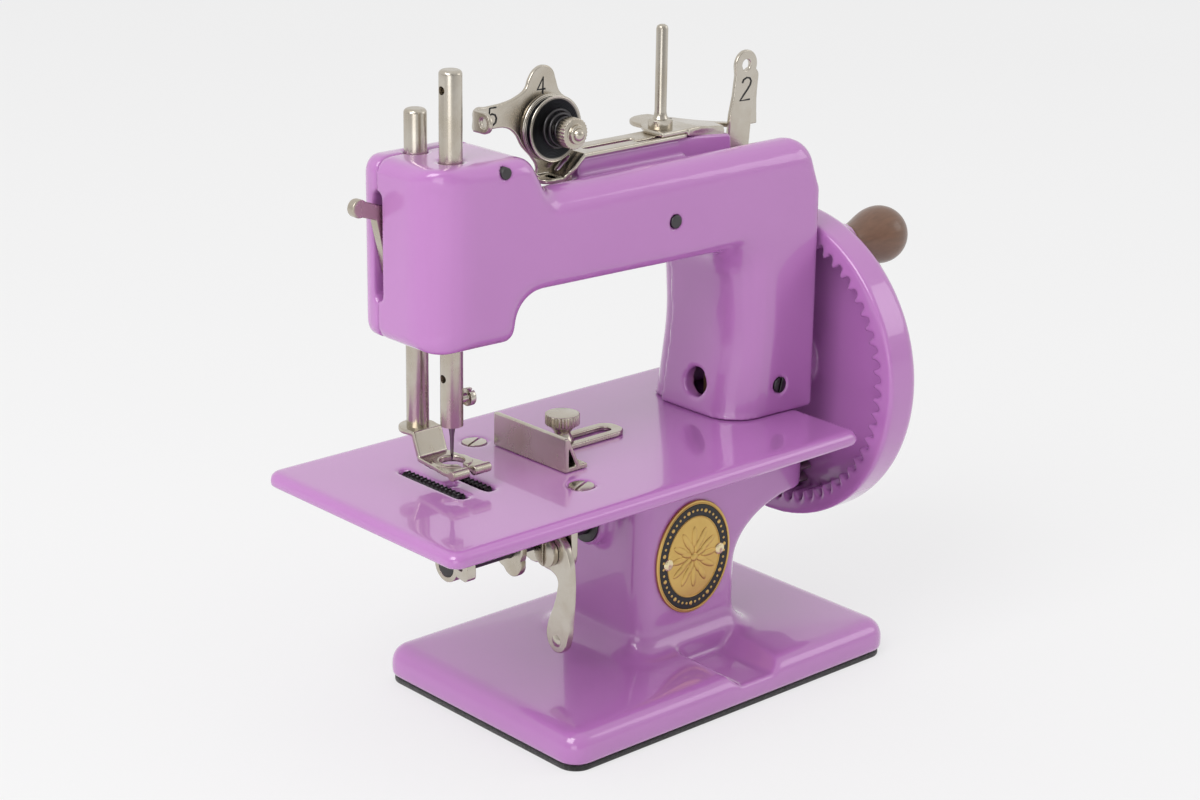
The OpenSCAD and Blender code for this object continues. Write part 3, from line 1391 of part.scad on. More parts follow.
module tension_nut() {
  color(nickel) difference() {
    union() {
      y_plate(nut_y - nut_knurl_t, nut_y) translate([tension_x, tension_z])
        fluted(nut_knurl_r, nut_flutes, nut_flute);
      y_rod(nut_nose_r, nut_y - nut_knurl_t - nut_nose_l, nut_y - nut_knurl_t, tension_x, tension_z);
    }
    y_rod(tension_stud_r + run_fit, nut_y - nut_knurl_t - nut_nose_l - over, nut_y + over,
      tension_x, tension_z);
  }
}

module looper_shaft() {
  rocker_tip = rocker_reach + rocker_pin_r + rocker_slot;
  color(steel) {
    x_rod(looper_shaft_r, looper_x0, rocker_x1, axle_y, looper_z);
    difference() {
      x_plate(rocker_x0, rocker_x1) {
        translate([axle_y, looper_z]) circle(rocker_hub_r);
        translate([axle_y - rocker_tip, looper_z - rocker_half]) square([rocker_tip, 2 * rocker_half]);
      }
      x_plate(rocker_x0 - over, rocker_x1 + over)
        translate([axle_y - rocker_tip - over, looper_z - rocker_pin_r - rocker_slot])
          square([rocker_tip / 2, 2 * (rocker_pin_r + rocker_slot)]);
    }
  }
}
// Hook that swings past the needle: a hub, an arm and a tapering curved blade
module looper() {
  outer = [for (k = [0 : hook_steps]) let(a = hook_start + (hook_end - hook_start) * k / hook_steps)
    hook_r * [cos(a), sin(a)]];
  inner = [for (k = [hook_steps : -1 : 0]) let(a = hook_start + (hook_end - hook_start) * k / hook_steps,
      w = hook_tip_share + (1 - hook_tip_share) * k / hook_steps)
    (hook_r - hook_w * w) * [cos(a), sin(a)]];
  color(nickel) difference() {
    x_plate(looper_x0, looper_x0 + looper_t) translate([axle_y, looper_z]) {
      circle(looper_hub_r);
      polygon(concat(outer, inner));
      bar([0, 0], (hook_r - hook_w / 2) * [cos(hook_end), sin(hook_end)], hook_w / 2);
    }
    x_rod(looper_shaft_r + pin_fit, looper_x0 - over, looper_x0 + looper_t + over, axle_y, looper_z);
  }
}
// Cam plate with a rounded lower end, clamped on the looper shaft
module feed_cam() {
  color(nickel) difference() {
    x_plate(cam_x, cam_x + cam_t) {
      translate([axle_y, looper_z]) circle(cam_r);
      bar([axle_y, looper_z], [axle_y - cam_drop / 2, looper_z - cam_drop], cam_tip_r);
    }
    x_rod(looper_shaft_r + pin_fit, cam_x - over, cam_x + cam_t + over, axle_y, looper_z);
  }
}
// Cross plate screwed under the bed, with a cheek that bears the looper shaft and the finger lever
module feed_bracket() {
  color(nickel) difference() {
    union() {
      box([bed_screw_x - bed_head_r, -bracket_half, bracket_z0],
        [cheek_x + cheek_t, bracket_half, bed_under]);
      x_plate(cheek_x, cheek_x + cheek_t) {
        hanger(cheek_r, looper_z, bed_under);
        translate([finger_y, finger_z]) circle(cheek_r - finger_gap);
        translate([finger_y - cheek_r + finger_gap, finger_z])
          square([axle_y - finger_y + cheek_r, bed_under - finger_z]);
      }
    }
    x_rod(looper_shaft_r + run_fit, cheek_x - over, cheek_x + cheek_t + over, axle_y, looper_z);
    x_rod(finger_stud_r + pin_fit, cheek_x - over, cheek_x + cheek_t + over, finger_y, finger_z);
    for (s = [-1, 1])
      z_rod(bed_screw_r + pin_fit, bracket_z0 - over, bed_under + over, bed_screw_x, s * bed_screw_y);
  }
}
feed_mid = (feed_neck_y0 + feed_neck_y1) / 2;
// Two toothed rows on a bar that slides under the bed
module feed_dog() {
  row_top = bed_top + feed_top_up;
  pitch = feed_l / feed_teeth;
  color(steel) difference() {
    union() {
      for (x = feed_xs) x_plate(x - feed_row_w / 2, x + feed_row_w / 2)
        polygon(concat([[feed_y0, feed_bar_z0], [feed_y0 + feed_l, feed_bar_z0]],
          [for (k = [feed_teeth : -1 : 1]) each [[feed_y0 + k * pitch, row_top - feed_tooth_depth],
            [feed_y0 + (k - 1 / 2) * pitch, row_top]]],
          [[feed_y0, row_top - feed_tooth_depth]]));
      box([feed_xs[0], feed_neck_y0, feed_bar_z0], [feed_end_x, feed_neck_y1, feed_bar_z1]);
    }
    for (s = [-1, 1]) z_plate(feed_bar_z0 - over, feed_bar_z1 + over)
      bar([feed_screw_x, feed_mid + s * feed_screw_gap / 2 - feed_slot_gap],
        [feed_screw_x, feed_mid + s * feed_screw_gap / 2 + feed_slot_gap], feed_screw_r + slide_gap);
    z_rod(needle_hole_r + slot_fit, feed_bar_z0 - over, feed_bar_z1 + over, needle_x, needle_y);
  }
}
module feed_screws() {
  color(steel) for (s = [-1, 1])
    translate([feed_screw_x, feed_mid + s * feed_screw_gap / 2, feed_bar_z0 - slide_gap]) rotate([180, 0, 0])
      slotted_screw(feed_screw_r, bed_under + feed_screw_in - feed_bar_z0, feed_head_r,
        feed_head_t);
}
// Lever hung on the bracket, with a round eye and a finger end
module finger_lever() {
  knee = [finger_knee_y, finger_knee_z];
  tip = [finger_tip_y, finger_tip_z];
  color(nickel) difference() {
    x_plate(cheek_x - finger_t - finger_gap, cheek_x - finger_gap) {
      translate([finger_y, finger_z]) circle(finger_r);
      bar([finger_y - finger_r + finger_waist_r, finger_z], knee, finger_waist_r);
      bar(knee, tip, finger_waist_r);
      translate(tip) circle(finger_tip_r);
    }
    x_rod(finger_bore + run_fit, cheek_x - finger_t - over, cheek_x + over, finger_y, finger_z);
  }
}
module finger_lever_screw() {
  head_x = cheek_x - finger_t - finger_gap - slide_gap;
  color(nickel) {
    translate([head_x, finger_y, finger_z]) rotate([0, -90, 0])
      slotted_screw(finger_bore, finger_t + finger_gap + slide_gap, finger_head_r, finger_head_t);
    x_rod(finger_stud_r, head_x, cheek_x + cheek_t, finger_y, finger_z);
  }
}

// Fence folded up from a slotted arm that lies on the bed
module seam_guide() {
  low = bed_top + slide_gap;
  color(nickel) difference() {
    union() {
      box([fence_x, fence_y - fence_l / 2, low], [fence_x + sheet_t, fence_y + fence_l / 2, low + fence_h]);
      y_plate(fence_y - fence_l / 2, fence_y + fence_l / 2)
        polygon([[fence_x, low + fence_h], [fence_x + sheet_t, low + fence_h],
          [fence_x + fold_l, low], [fence_x + fold_l - sheet_t, low]]);
      box([fence_x, fence_y - fence_l / 2, low],
        [fence_x + tab_l, fence_y - fence_l / 2 + tab_w, low + sheet_t]);
      z_plate(low, low + sheet_t)
        rounded(fence_x, guide_x1, guide_y - guide_half, guide_y + guide_half, guide_r);
      box([fence_x, guide_y - guide_half, low], [fence_x + guide_half, guide_y + guide_half, low + sheet_t]);
    }
    z_plate(low - over, low + sheet_t + over)
      bar([guide_slot_x0 + guide_slot_half, guide_y],
        [guide_x1 - guide_slot_end - guide_slot_half, guide_y], guide_slot_half);
  }
}
// Waisted thumb screw with a fluted head
module guide_screw() {
  seat = bed_top + 2 * slide_gap + sheet_t;
  waist = thumb_h - thumb_head_t;
  color(nickel) {
    translate([thumb_x, guide_y, seat]) rotate_extrude() polygon(concat([[0, 0]],
      [for (s = [0 : 6]) let(t = s / 6, w = cos(360 * t) / 2 + 1 / 2)
        [thumb_neck_r + (t < 1 / 2 ? thumb_flare : thumb_r - thumb_neck_r - thumb_flare) * w, waist * t]],
      [[0, waist]]));
    z_plate(seat + waist, seat + thumb_h) translate([thumb_x, guide_y])
      fluted(thumb_r, thumb_flutes, thumb_flute);
    z_rod(thumb_shank_r, bed_under, seat + waist / 2, thumb_x, guide_y);
  }
}

base_casting();
base_felt();
arm_front();
arm_rear();
medallion();
medallion_rivets();
bed_screws();
pillar_screws();
lever_pivot_screw();
head_pin();
axle_set_screw();
handwheel();
wheel_axle();
wheel_washer();
axle_nut();
crank_handle();
handle_pin();
drive_pinion();
pinion_shaft();
shaft_bushes();
crank_disc();
pitman();
needle_lever();
thread_lever();
needle_bar();
needle_collar();
needle();
needle_screw();
presser_bar();
presser_collar();
presser_spring();
presser_foot();
presser_lifter();
lifter_pin();
thread_strip();
spool_plate();
spool_pin();
tension_bracket();
tension_stud();
tension_discs();
tension_spring();
tension_nut();
looper_shaft();
looper_bush();
looper();
feed_cam();
feed_bracket();
feed_dog();
feed_screws();
finger_lever();
finger_lever_screw();
seam_guide();
guide_screw();
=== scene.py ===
"""Looks of a toy sewing machine: enamel, plated metal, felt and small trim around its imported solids."""

import json
import math

import bpy
from bpy.props import FloatProperty, FloatVectorProperty, IntProperty, PointerProperty
from mathutils import Matrix, Vector


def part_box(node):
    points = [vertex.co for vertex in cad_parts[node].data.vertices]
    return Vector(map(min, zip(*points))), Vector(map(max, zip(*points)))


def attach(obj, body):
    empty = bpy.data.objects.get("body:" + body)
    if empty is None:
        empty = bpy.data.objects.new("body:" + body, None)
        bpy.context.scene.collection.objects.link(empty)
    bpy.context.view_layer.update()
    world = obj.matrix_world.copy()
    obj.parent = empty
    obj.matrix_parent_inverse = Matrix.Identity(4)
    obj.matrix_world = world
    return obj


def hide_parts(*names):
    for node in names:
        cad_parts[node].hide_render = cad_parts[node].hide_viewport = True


bl_info = {
    "name": "Toy Sewing Machine",
    "version": (1, 0, 0),
    "blender": (4, 5, 0),
    "location": "View3D > Sidebar > Sewing Machine",
    "description": "Dresses the solids of a toy sewing machine and sets up its studio",
    "category": "Object",
}

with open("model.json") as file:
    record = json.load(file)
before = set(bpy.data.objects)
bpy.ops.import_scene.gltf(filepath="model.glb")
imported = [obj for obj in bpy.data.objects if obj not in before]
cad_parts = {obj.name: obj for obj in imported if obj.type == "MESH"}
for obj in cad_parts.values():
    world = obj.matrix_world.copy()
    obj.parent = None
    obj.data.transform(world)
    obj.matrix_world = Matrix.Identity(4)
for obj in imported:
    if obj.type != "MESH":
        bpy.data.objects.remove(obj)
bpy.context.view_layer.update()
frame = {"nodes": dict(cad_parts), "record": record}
MM = 0.001
BODY_OF = {}
for body_name, body_nodes in frame["record"]["behaviour"]["bodies"].items():
    for body_node in body_nodes:
        BODY_OF[body_node] = body_name
SLOT_OF = {row["node"]: row["material_slot"] for row in frame["record"]["subparts"]}
MERGE = 0.000004
CREASE = math.radians(40.0)
SOFT_CREASE = math.radians(35.0)
FRONT = (math.pi / 2, 0.0, 0.0)
SIDE = (math.pi / 2, 0.0, math.pi / 2)
FLAT = (0.0, 0.0, 0.0)
SHEET = 1.2
CASTINGS = {"base_casting": 1.04, "arm_front": 0.85, "arm_rear": 0.85, "handwheel": 0.66}
SHEETS = {
    "seam_guide": 0.2,
    "presser_lifter": 0.18,
    "looper": 0.18,
    "feed_cam": 0.2,
    "feed_bracket": 0.28,
    "presser_collar": 0.25,
    "needle_lever": 0.4,
    "pitman": 0.35,
}
COATED = ("enamel", "felt", "handle_wood", "gilt")
SNUG = ("wheel_axle", "feed_dog")
SNUG_GAP = 0.2
# The pitman is bronze; the looper's bush and shaft take the dark pin finish as painted shade under the bed.
FINISH_AND_PAINTED_SHADE_OF = {"pitman": "bronze", "looper_bush": "dark_pin_and_painted_shade", "looper_shaft": "dark_pin_and_painted_shade"}
REMADE = (
    "tension_spring", "tension_bracket", "tension_discs", "thread_strip", "presser_foot", "finger_lever",
    "needle", "thread_lever", "spool_plate", "spool_pin",
)
METALS = {
    "steel": ((0.43, 0.41, 0.39), 0.26, 0.7),
    "blued_steel": ((0.075, 0.073, 0.078), 0.3, 0.5),
    "bronze": ((0.62, 0.42, 0.26), 0.5, 0.7),
    # Dark pin faces; the same dark metal is also the painted shade on the looper's bush and shaft.
    "dark_pin_and_painted_shade": ((0.09, 0.088, 0.092), 0.42, 0.6),
    "blued_needle": ((0.2, 0.17, 0.19), 0.16, 0.3),
    "brass": ((0.62, 0.38, 0.13), 0.26, 0.8),
    "gilt": ((0.66, 0.45, 0.15), 0.3, 0.6),
    "rivet_brass": ((0.82, 0.71, 0.45), 0.24, 0.4),
}
INK = (0.006, 0.006, 0.007)
NUMERALS = {
    "two": ((0.04, 0.78), (0.10, 0.92), (0.28, 1.0), (0.48, 0.96), (0.58, 0.82), (0.55, 0.66), (0.40, 0.46),
            (0.18, 0.22), (0.0, 0.0), (0.60, 0.0)),
    "four": ((0.42, 0.0), (0.42, 1.0), (0.0, 0.30), (0.60, 0.30)),
    "five": ((0.55, 1.0), (0.10, 1.0), (0.06, 0.58), (0.26, 0.66), (0.48, 0.58), (0.58, 0.38), (0.52, 0.14),
             (0.30, 0.0), (0.02, 0.08)),
}


# Shader values as Python expressions


class Value:
    """A shader socket that takes part in arithmetic."""

    def __init__(self, finish, socket):
        self.finish = finish
        self.socket = socket

    def __add__(self, other):
        return self.finish.math("ADD", self, other)

    def __radd__(self, other):
        return self.finish.math("ADD", other, self)

    def __sub__(self, other):
        return self.finish.math("SUBTRACT", self, other)

    def __rsub__(self, other):
        return self.finish.math("SUBTRACT", other, self)

    def __mul__(self, other):
        return self.finish.math("MULTIPLY", self, other)

    def __rmul__(self, other):
        return self.finish.math("MULTIPLY", other, self)

    def __truediv__(self, other):
        return self.finish.math("DIVIDE", self, other)

    def __pow__(self, other):
        return self.finish.math("POWER", self, other)


class Finish:
    """One node material and the nodes that it is made of."""

    def __init__(self, name):
        self.material = bpy.data.materials.new(name)
        self.material.use_nodes = True
        self.tree = self.material.node_tree
        self.tree.nodes.clear()
        self.place = self.node("ShaderNodeTexCoord", {}, {}, "Object")

    def feed(self, socket, value):
        """Links a value to a socket, or sets it there."""
        if isinstance(value, Value):
            self.tree.links.new(value.socket, socket)
            return
        if isinstance(value, (tuple, list)) and len(value) == 3 and socket.type == "RGBA":
            value = (*value, 1.0)
        socket.default_value = value

    def node(self, kind, settings, sockets, output=0):
        """Adds a node, applies its settings first and then its sockets, and returns one output."""
        made = self.tree.nodes.new(kind)
        for key, value in settings.items():
            if key == "stops":
                ramp = made.color_ramp.elements
                while len(ramp) < len(value):
                    ramp.new(0.5)
                for stop, (where, shade) in zip(ramp, value):
                    stop.position = where
                    stop.color = (shade, shade, shade, 1.0)
            else:
                setattr(made, key, value)
        for key, value in sockets.items():
            self.feed(made.inputs[key], value)
        if output is None:
            return made
        return Value(self, made.outputs[output])

    def math(self, operation, a, b):
        """A Math node."""
        return self.node("ShaderNodeMath", {"operation": operation}, {0: a, 1: b})

    def blend(self, share, a, b):
        """A colour between two colours."""
        return self.node("ShaderNodeMix", {"data_type": "RGBA"}, {0: share, 6: a, 7: b}, 2)

    def ramp(self, value, *stops):
        """A grey value from stops of place and shade."""
        return self.node("ShaderNodeValToRGB", {"stops": stops}, {"Fac": value}, "Color")

    def stretched(self, scale):
        """Object coordinates with a scale for each axis."""
        return self.node("ShaderNodeMapping", {}, {"Vector": self.place, "Scale": scale}, "Vector")

    def noise(self, scale, detail=2.0, rough=0.5, where=None):
        """Soft noise; the scale counts features in a metre."""
        sockets = {"Vector": where or self.place, "Scale": scale, "Detail": detail, "Roughness": rough}
        return self.node("ShaderNodeTexNoise", {}, sockets, 0)

    def bump(self, height, depth, strength=1.0):
        """A bumped normal; the depth is in metres."""
        sockets = {"Height": height, "Distance": depth, "Strength": strength}
        return self.node("ShaderNodeBump", {}, sockets, "Normal")

    def surface(self, **sockets):
        """The closing shader, with its sockets by name."""
        named = {key.replace("_", " "): value for key, value in sockets.items()}
        shader = self.node("ShaderNodeBsdfPrincipled", {}, named, 0)
        self.node("ShaderNodeOutputMaterial", {}, {"Surface": shader}, None)
        return self.material


# Settings


def colour_setting(name, description, default):
    """A colour among the settings."""
    return FloatVectorProperty(name=name, description=description, default=default, size=3, subtype="COLOR")


class EnamelSettings(bpy.types.PropertyGroup):
    """Paint and surface of the castings."""

    tint: colour_setting("Tint", "Colour of the enamel", (0.47, 0.185, 0.49))
    deep_tint: colour_setting("Deep Tint", "Colour where the enamel lies thicker", (0.445, 0.168, 0.465))
    gloss: FloatProperty(
        name="Roughness",
        description="Roughness of the enamel under its clear skin",
        default=0.2,
        subtype="FACTOR",
    )
    grain: FloatProperty(
        name="Casting Grain",
        description="Length of a face on the remeshed castings",
        default=0.00078,
        unit="LENGTH",
    )
    rounding: IntProperty(
        name="Rounding",
        description="Smoothing steps that soften the painted edges",
        default=5,
    )


class TrimSettings(bpy.types.PropertyGroup):
    """Metal trim, handle and felt."""

    edge: FloatProperty(
        name="Broken Edge",
        description="Width of the broken edges on metal pieces",
        default=0.00016,
        unit="LENGTH",
    )
    nickel: colour_setting("Nickel", "Colour of the plated metal", (0.57, 0.53, 0.465))
    wood: colour_setting("Handle", "Colour of the crank handle", (0.17, 0.085, 0.05))
    bead_count: IntProperty(
        name="Beads",
        description="Number of beads round the medallion",
        default=44,
    )


class StudioSettings(bpy.types.PropertyGroup):
    """Camera and light."""

    camera_place: FloatVectorProperty(
        name="Camera Place",
        description="Where the camera stands",
        default=(-0.4439, -0.4708, 0.2953),
        size=3,
        subtype="TRANSLATION",
        unit="LENGTH",
    )
    camera_turn: FloatVectorProperty(
        name="Camera Turn",
        description="Yaw to the right, pitch down and roll of the camera",
        default=(math.radians(42.26), math.radians(18.71), math.radians(0.86)),
        size=3,
        subtype="EULER",
    )
    lens: FloatProperty(
        name="Lens",
        description="Focal length in millimetres on a 36 mm sensor",
        default=77.73,
    )
    sky: FloatProperty(
        name="Sky",
        description="Strength of the even light from all around",
        default=0.86,
    )
    key_power: FloatProperty(
        name="Key Light",
        description="Power of the large lamp at the front left",
        default=9.0,
        subtype="POWER",
        unit="POWER",
    )
    floor_glow: FloatProperty(
        name="Floor Evenness",
        description="Share of the floor that looks evenly pale to the camera",
        default=0.7,
        subtype="FACTOR",
    )
    floor_tint: colour_setting("Floor", "Colour of the floor", (0.9, 0.9, 0.904))


# Finishes


def enamel_finish(looks):
    """Orchid enamel with faint ripples under a clear skin."""
    paint = Finish("enamel")
    depth = paint.noise(22.0, 2.0)
    ripple = paint.noise(260.0, 2.0)
    dust = paint.noise(2600.0, 3.0, 0.7)
    tone = paint.ramp(depth, (0.3, 0.0), (0.7, 1.0))
    colour = paint.blend(tone, tuple(looks.enamel.deep_tint), tuple(looks.enamel.tint))
    rough = looks.enamel.gloss + 0.06 * depth + 0.05 * paint.ramp(dust, (0.55, 0.0), (0.75, 1.0))
    height = ripple + 0.06 * dust
    return paint.surface(
        Base_Color=colour,
        Roughness=rough,
        Coat_Weight=1.0,
        Coat_Roughness=0.025,
        Normal=paint.bump(height, 0.000016),
    )


def plated_finish(name, tint, rough, worn):
    """Plated or bare metal: satin sheen, faint tarnish, fine marks and a few dark pits."""
    metal = Finish(name)
    cloud = metal.noise(95.0, 4.0, 0.55)
    spots = metal.noise(1500.0, 2.0, 0.6)
    marks = metal.noise(1.0, 3.0, 0.6, metal.stretched((2600.0, 2600.0, 240.0)))
    stain = metal.ramp(cloud, (0.40, 0.0), (0.72, 1.0))
    pits = metal.ramp(spots, (0.70, 0.0), (0.80, 1.0))
    dull = tuple(channel * share for channel, share in zip(tint, (0.80, 0.75, 0.67)))
    dark = tuple(channel * 0.34 for channel in tint)
    colour = metal.blend(stain * worn, tint, dull)
    colour = metal.blend(pits * (0.5 * worn), colour, dark)
    roughness = rough + 0.08 * stain + 0.05 * marks
    return metal.surface(
        Base_Color=colour,
        Metallic=1.0,
        Roughness=roughness,
        Normal=metal.bump(marks + 0.3 * spots, 0.0000012),
    )


def disc_finish(looks, centre, radius):
    """Dark grooved disc with a rim worn bright; the centre and radius are in millimetres."""
    disc = Finish("tension_disc")
    cloud = disc.noise(300.0, 3.0)
    split = disc.node("ShaderNodeSeparateXYZ", {}, {"Vector": disc.place}, None)
    across = Value(disc, split.outputs["X"]) - centre[0] * MM
    up = Value(disc, split.outputs["Z"]) - centre[1] * MM
    reach = (across * across + up * up) ** 0.5 / (radius * MM)
    groove = disc.math("SINE", reach * 150.0, 0.0)
    rim = disc.ramp(reach + 0.02 * cloud, (0.88, 0.0), (0.95, 1.0))
    ring = disc.ramp(groove, (0.35, 0.0), (0.9, 1.0))
    dark = disc.blend(ring * 0.6, (0.02, 0.021, 0.024), (0.075, 0.078, 0.085))
    colour = disc.blend(rim, dark, tuple(looks.trim.nickel))
    return disc.surface(
        Base_Color=colour,
        Metallic=1.0,
        Roughness=0.34 - 0.1 * rim,
        Normal=disc.bump(groove, 0.00003),
    )


def felt_finish():
    """Pressed black felt."""
    cloth = Finish("felt")
    fibre = cloth.noise(2400.0, 4.0, 0.75)
    tufts = cloth.noise(420.0, 3.0, 0.6)
    tone = cloth.ramp(fibre, (0.4, 0.0), (0.7, 1.0))
    colour = cloth.blend(tone, (0.004, 0.004, 0.0045), (0.03, 0.028, 0.027))
    return cloth.surface(
        Base_Color=colour,
        Roughness=0.96 - 0.1 * tufts,
        Sheen_Weight=0.4,
        Normal=cloth.bump(fibre + tufts, 0.00025),
    )


def handle_finish(looks):
    """Brown lacquer over turned wood."""
    wood = Finish("handle_wood")
    tint = tuple(looks.trim.wood)
    grain = wood.noise(1.0, 4.0, 0.6, wood.stretched((60.0, 900.0, 900.0)))
    cloud = wood.noise(120.0, 3.0)
    dark = tuple(channel * 0.62 for channel in tint)
    colour = wood.blend(wood.ramp(grain, (0.35, 0.0), (0.75, 1.0)) * 0.7, tint, dark)
    return wood.surface(
        Base_Color=colour,
        Roughness=0.34 + 0.12 * cloud,
        Coat_Weight=0.4,
        Coat_Roughness=0.12,
        Normal=wood.bump(grain, 0.00003),
    )


def ink_finish(name, tint):
    """Dark filled paint, as on the medallion's band and in engraved numerals; it also gives the painted
    shade of the spool pin's slot.
    """
    ink = Finish(name)
    cloud = ink.noise(800.0, 3.0)
    pale = tuple(channel * 1.8 + 0.006 for channel in tint)
    colour = ink.blend(ink.ramp(cloud, (0.45, 0.0), (0.8, 1.0)), tint, pale)
    return ink.surface(
        Base_Color=colour,
        Roughness=0.38 + 0.2 * cloud,
        Normal=ink.bump(cloud, 0.00002),
    )


FINISHES = {}


def finish_of(slot, looks):
    """The material of a slot, made once."""
    if slot in FINISHES:
        return FINISHES[slot]
    if slot == "enamel":
        made = enamel_finish(looks)
    elif slot == "felt":
        made = felt_finish()
    elif slot == "handle_wood":
        made = handle_finish(looks)
    elif slot == "nickel":
        made = plated_finish(slot, tuple(looks.trim.nickel), 0.2, 0.8)
    elif slot in METALS:
        made = plated_finish(slot, *METALS[slot])
    else:
        made = ink_finish(slot, INK)
    FINISHES[slot] = made
    return made


# Modelling


def alone(piece):
    """Makes a piece the only one selected, and active."""
    bpy.ops.object.select_all(action="DESELECT")
    piece.select_set(True)
    bpy.context.view_layer.objects.active = piece


def fresh(add, **settings):
    """Adds an object with nothing else selected."""
    bpy.ops.object.select_all(action="DESELECT")
    add(**settings)
    return bpy.context.active_object


def in_edit(piece, step, **settings):
    """Runs one edit step on the whole of a piece's mesh."""
    alone(piece)
    bpy.ops.object.mode_set(mode="EDIT")
    bpy.ops.mesh.select_all(action="SELECT")
    step(**settings)
    bpy.ops.object.mode_set(mode="OBJECT")


def settled(piece):
    """Applies a piece's modifiers and its place."""
    alone(piece)
    for modifier in list(piece.modifiers):
        bpy.ops.object.modifier_apply(modifier=modifier.name)
    bpy.ops.object.transform_apply(location=True, rotation=True, scale=True)
    return piece


def joined(name, pieces):
    """Joins pieces into one with this name."""
    bpy.ops.object.select_all(action="DESELECT")
    for piece in pieces:
        piece.select_set(True)
    bpy.context.view_layer.objects.active = pieces[0]
    bpy.ops.object.join()
    made = bpy.context.view_layer.objects.active
    made.name = name
    made.data.name = name
    return made


def cad_copy(node, name):
    """A merged copy of a node's mesh as a new piece."""
    mesh = frame["nodes"][node].data.copy()
    piece = bpy.data.objects.new(name, mesh)
    bpy.context.scene.collection.objects.link(piece)
    in_edit(piece, bpy.ops.mesh.remove_doubles, threshold=MERGE)
    return piece


def wear(piece, node, material, replacing=True):
    """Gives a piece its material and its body."""
    piece.data.materials.clear()
    piece.data.materials.append(material)
    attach(piece, BODY_OF[node])
    if replacing:
        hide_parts(node)


def span(node):
    """A node's lowest corner, highest corner and centre, in millimetres."""
    low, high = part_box(node)
    low = [value / MM for value in low]
    high = [value / MM for value in high]
    return low, high, [(a + b) / 2 for a, b in zip(low, high)]


def skinned(piece, grain, rounding):
    """Draws one even skin over a piece and smooths it; the grain is in millimetres."""
    remesh = piece.modifiers.new("skin", "REMESH")
    remesh.mode = "VOXEL"
    remesh.voxel_size = grain * MM
    smooth = piece.modifiers.new("flow", "SMOOTH")
    smooth.factor = 0.5
    smooth.iterations = rounding
    settled(piece)
    bpy.ops.object.shade_smooth()
    return piece


def broken_edges(node, width):
    """A turned metal piece with flat faces merged and its edges broken."""
    piece = cad_copy(node, node + "_finished")
    in_edit(piece, bpy.ops.mesh.dissolve_limited, angle_limit=math.radians(0.6))
    bevel = piece.modifiers.new("edge", "BEVEL")
    bevel.width = width
    bevel.segments = 2
    bevel.limit_method = "ANGLE"
    bevel.angle_limit = CREASE
    settled(piece)
    bpy.ops.object.shade_smooth_by_angle(angle=SOFT_CREASE)
    return piece


def line(name, points):
    """A curve object through points in metres."""
    curve = fresh(bpy.ops.curve.primitive_nurbs_path_add).data
    bpy.context.active_object.name = name
    curve.splines.clear()
    spline = curve.splines.new("POLY")
    spline.points.add(len(points) - 1)
    for point, place in zip(spline.points, points):
        point.co = (*place, 1.0)
    curve.dimensions = "3D"
    return curve


def as_mesh():
    """Turns the active curve into a mesh."""
    bpy.ops.object.convert(target="MESH")
    return bpy.context.active_object


def stroke(points, radius, name):
    """A round stroke through points, as a mesh."""
    curve = line(name, points)
    curve.bevel_depth = radius
    curve.bevel_resolution = 2
    curve.use_fill_caps = True
    piece = as_mesh()
    bpy.ops.object.transform_apply(location=True, rotation=True, scale=True)
    bpy.ops.object.shade_smooth()
    return piece


def arc(centre, radius, start, end, steps=14):
    """Points of a round stretch, with angles in degrees."""
    points = []
    for step in range(steps + 1):
        angle = math.radians(start + (end - start) * step / steps)
        points.append((centre[0] + radius * math.cos(angle), centre[1] + radius * math.sin(angle)))
    return points


def hole(centre, radius, steps=24):
    """Points of a round hole."""
    return arc(centre, radius, 0.0, 350.0, steps)


def plate(name, loops, thick, place, turn, edge=0.18, soft=False):
    """Sheet cut to outlines in millimetres, round at the edges; a soft outline runs through its points."""
    sheet = fresh(bpy.ops.curve.primitive_bezier_curve_add)
    sheet.name = name
    curve = sheet.data
    curve.splines.clear()
    curve.dimensions = "2D"
    curve.fill_mode = "BOTH"
    curve.extrude = (thick / 2 - edge) * MM
    curve.bevel_depth = edge * MM
    curve.bevel_resolution = 2
    curve.offset = -edge * MM
    for number, loop in enumerate(loops):
        if soft and number == 0:
            spline = curve.splines.new("BEZIER")
            spline.bezier_points.add(len(loop) - 1)
            for point, (across, up) in zip(spline.bezier_points, loop):
                point.co = (across * MM, up * MM, 0.0)
                point.handle_left_type = "AUTO"
                point.handle_right_type = "AUTO"
        else:
            spline = curve.splines.new("POLY")
            spline.points.add(len(loop) - 1)
            for point, (across, up) in zip(spline.points, loop):
                point.co = (across * MM, up * MM, 0.0, 1.0)
        spline.use_cyclic_u = True
    piece = as_mesh()
    piece.location = [value * MM for value in place]
    piece.rotation_euler = turn
    return settled(piece)


def lathe(name, profile, place, turn, steps=72):
    """A turned piece from radius and height in millimetres."""
    line(name, [(radius * MM, 0.0, height * MM) for radius, height in profile])
    piece = as_mesh()
    screw = piece.modifiers.new("turn", "SCREW")
    screw.axis = "Z"
    screw.steps = steps
    screw.render_steps = steps
    screw.use_merge_vertices = True
    screw.merge_threshold = 0.00001
    piece.location = [value * MM for value in place]
    piece.rotation_euler = turn
    settled(piece)
    in_edit(piece, bpy.ops.mesh.normals_make_consistent, inside=False)
    bpy.ops.object.shade_smooth_by_angle(angle=CREASE)
    return piece


def block(name, low, high, turn=FLAT):
    """A block between two corners in millimetres, turned about its centre."""
    centre = [(a + b) / 2 * MM for a, b in zip(low, high)]
    piece = fresh(bpy.ops.mesh.primitive_cube_add, size=1.0, location=centre, rotation=turn)
    piece.name = name
    piece.scale = [(b - a) * MM for a, b in zip(low, high)]
    return settled(piece)


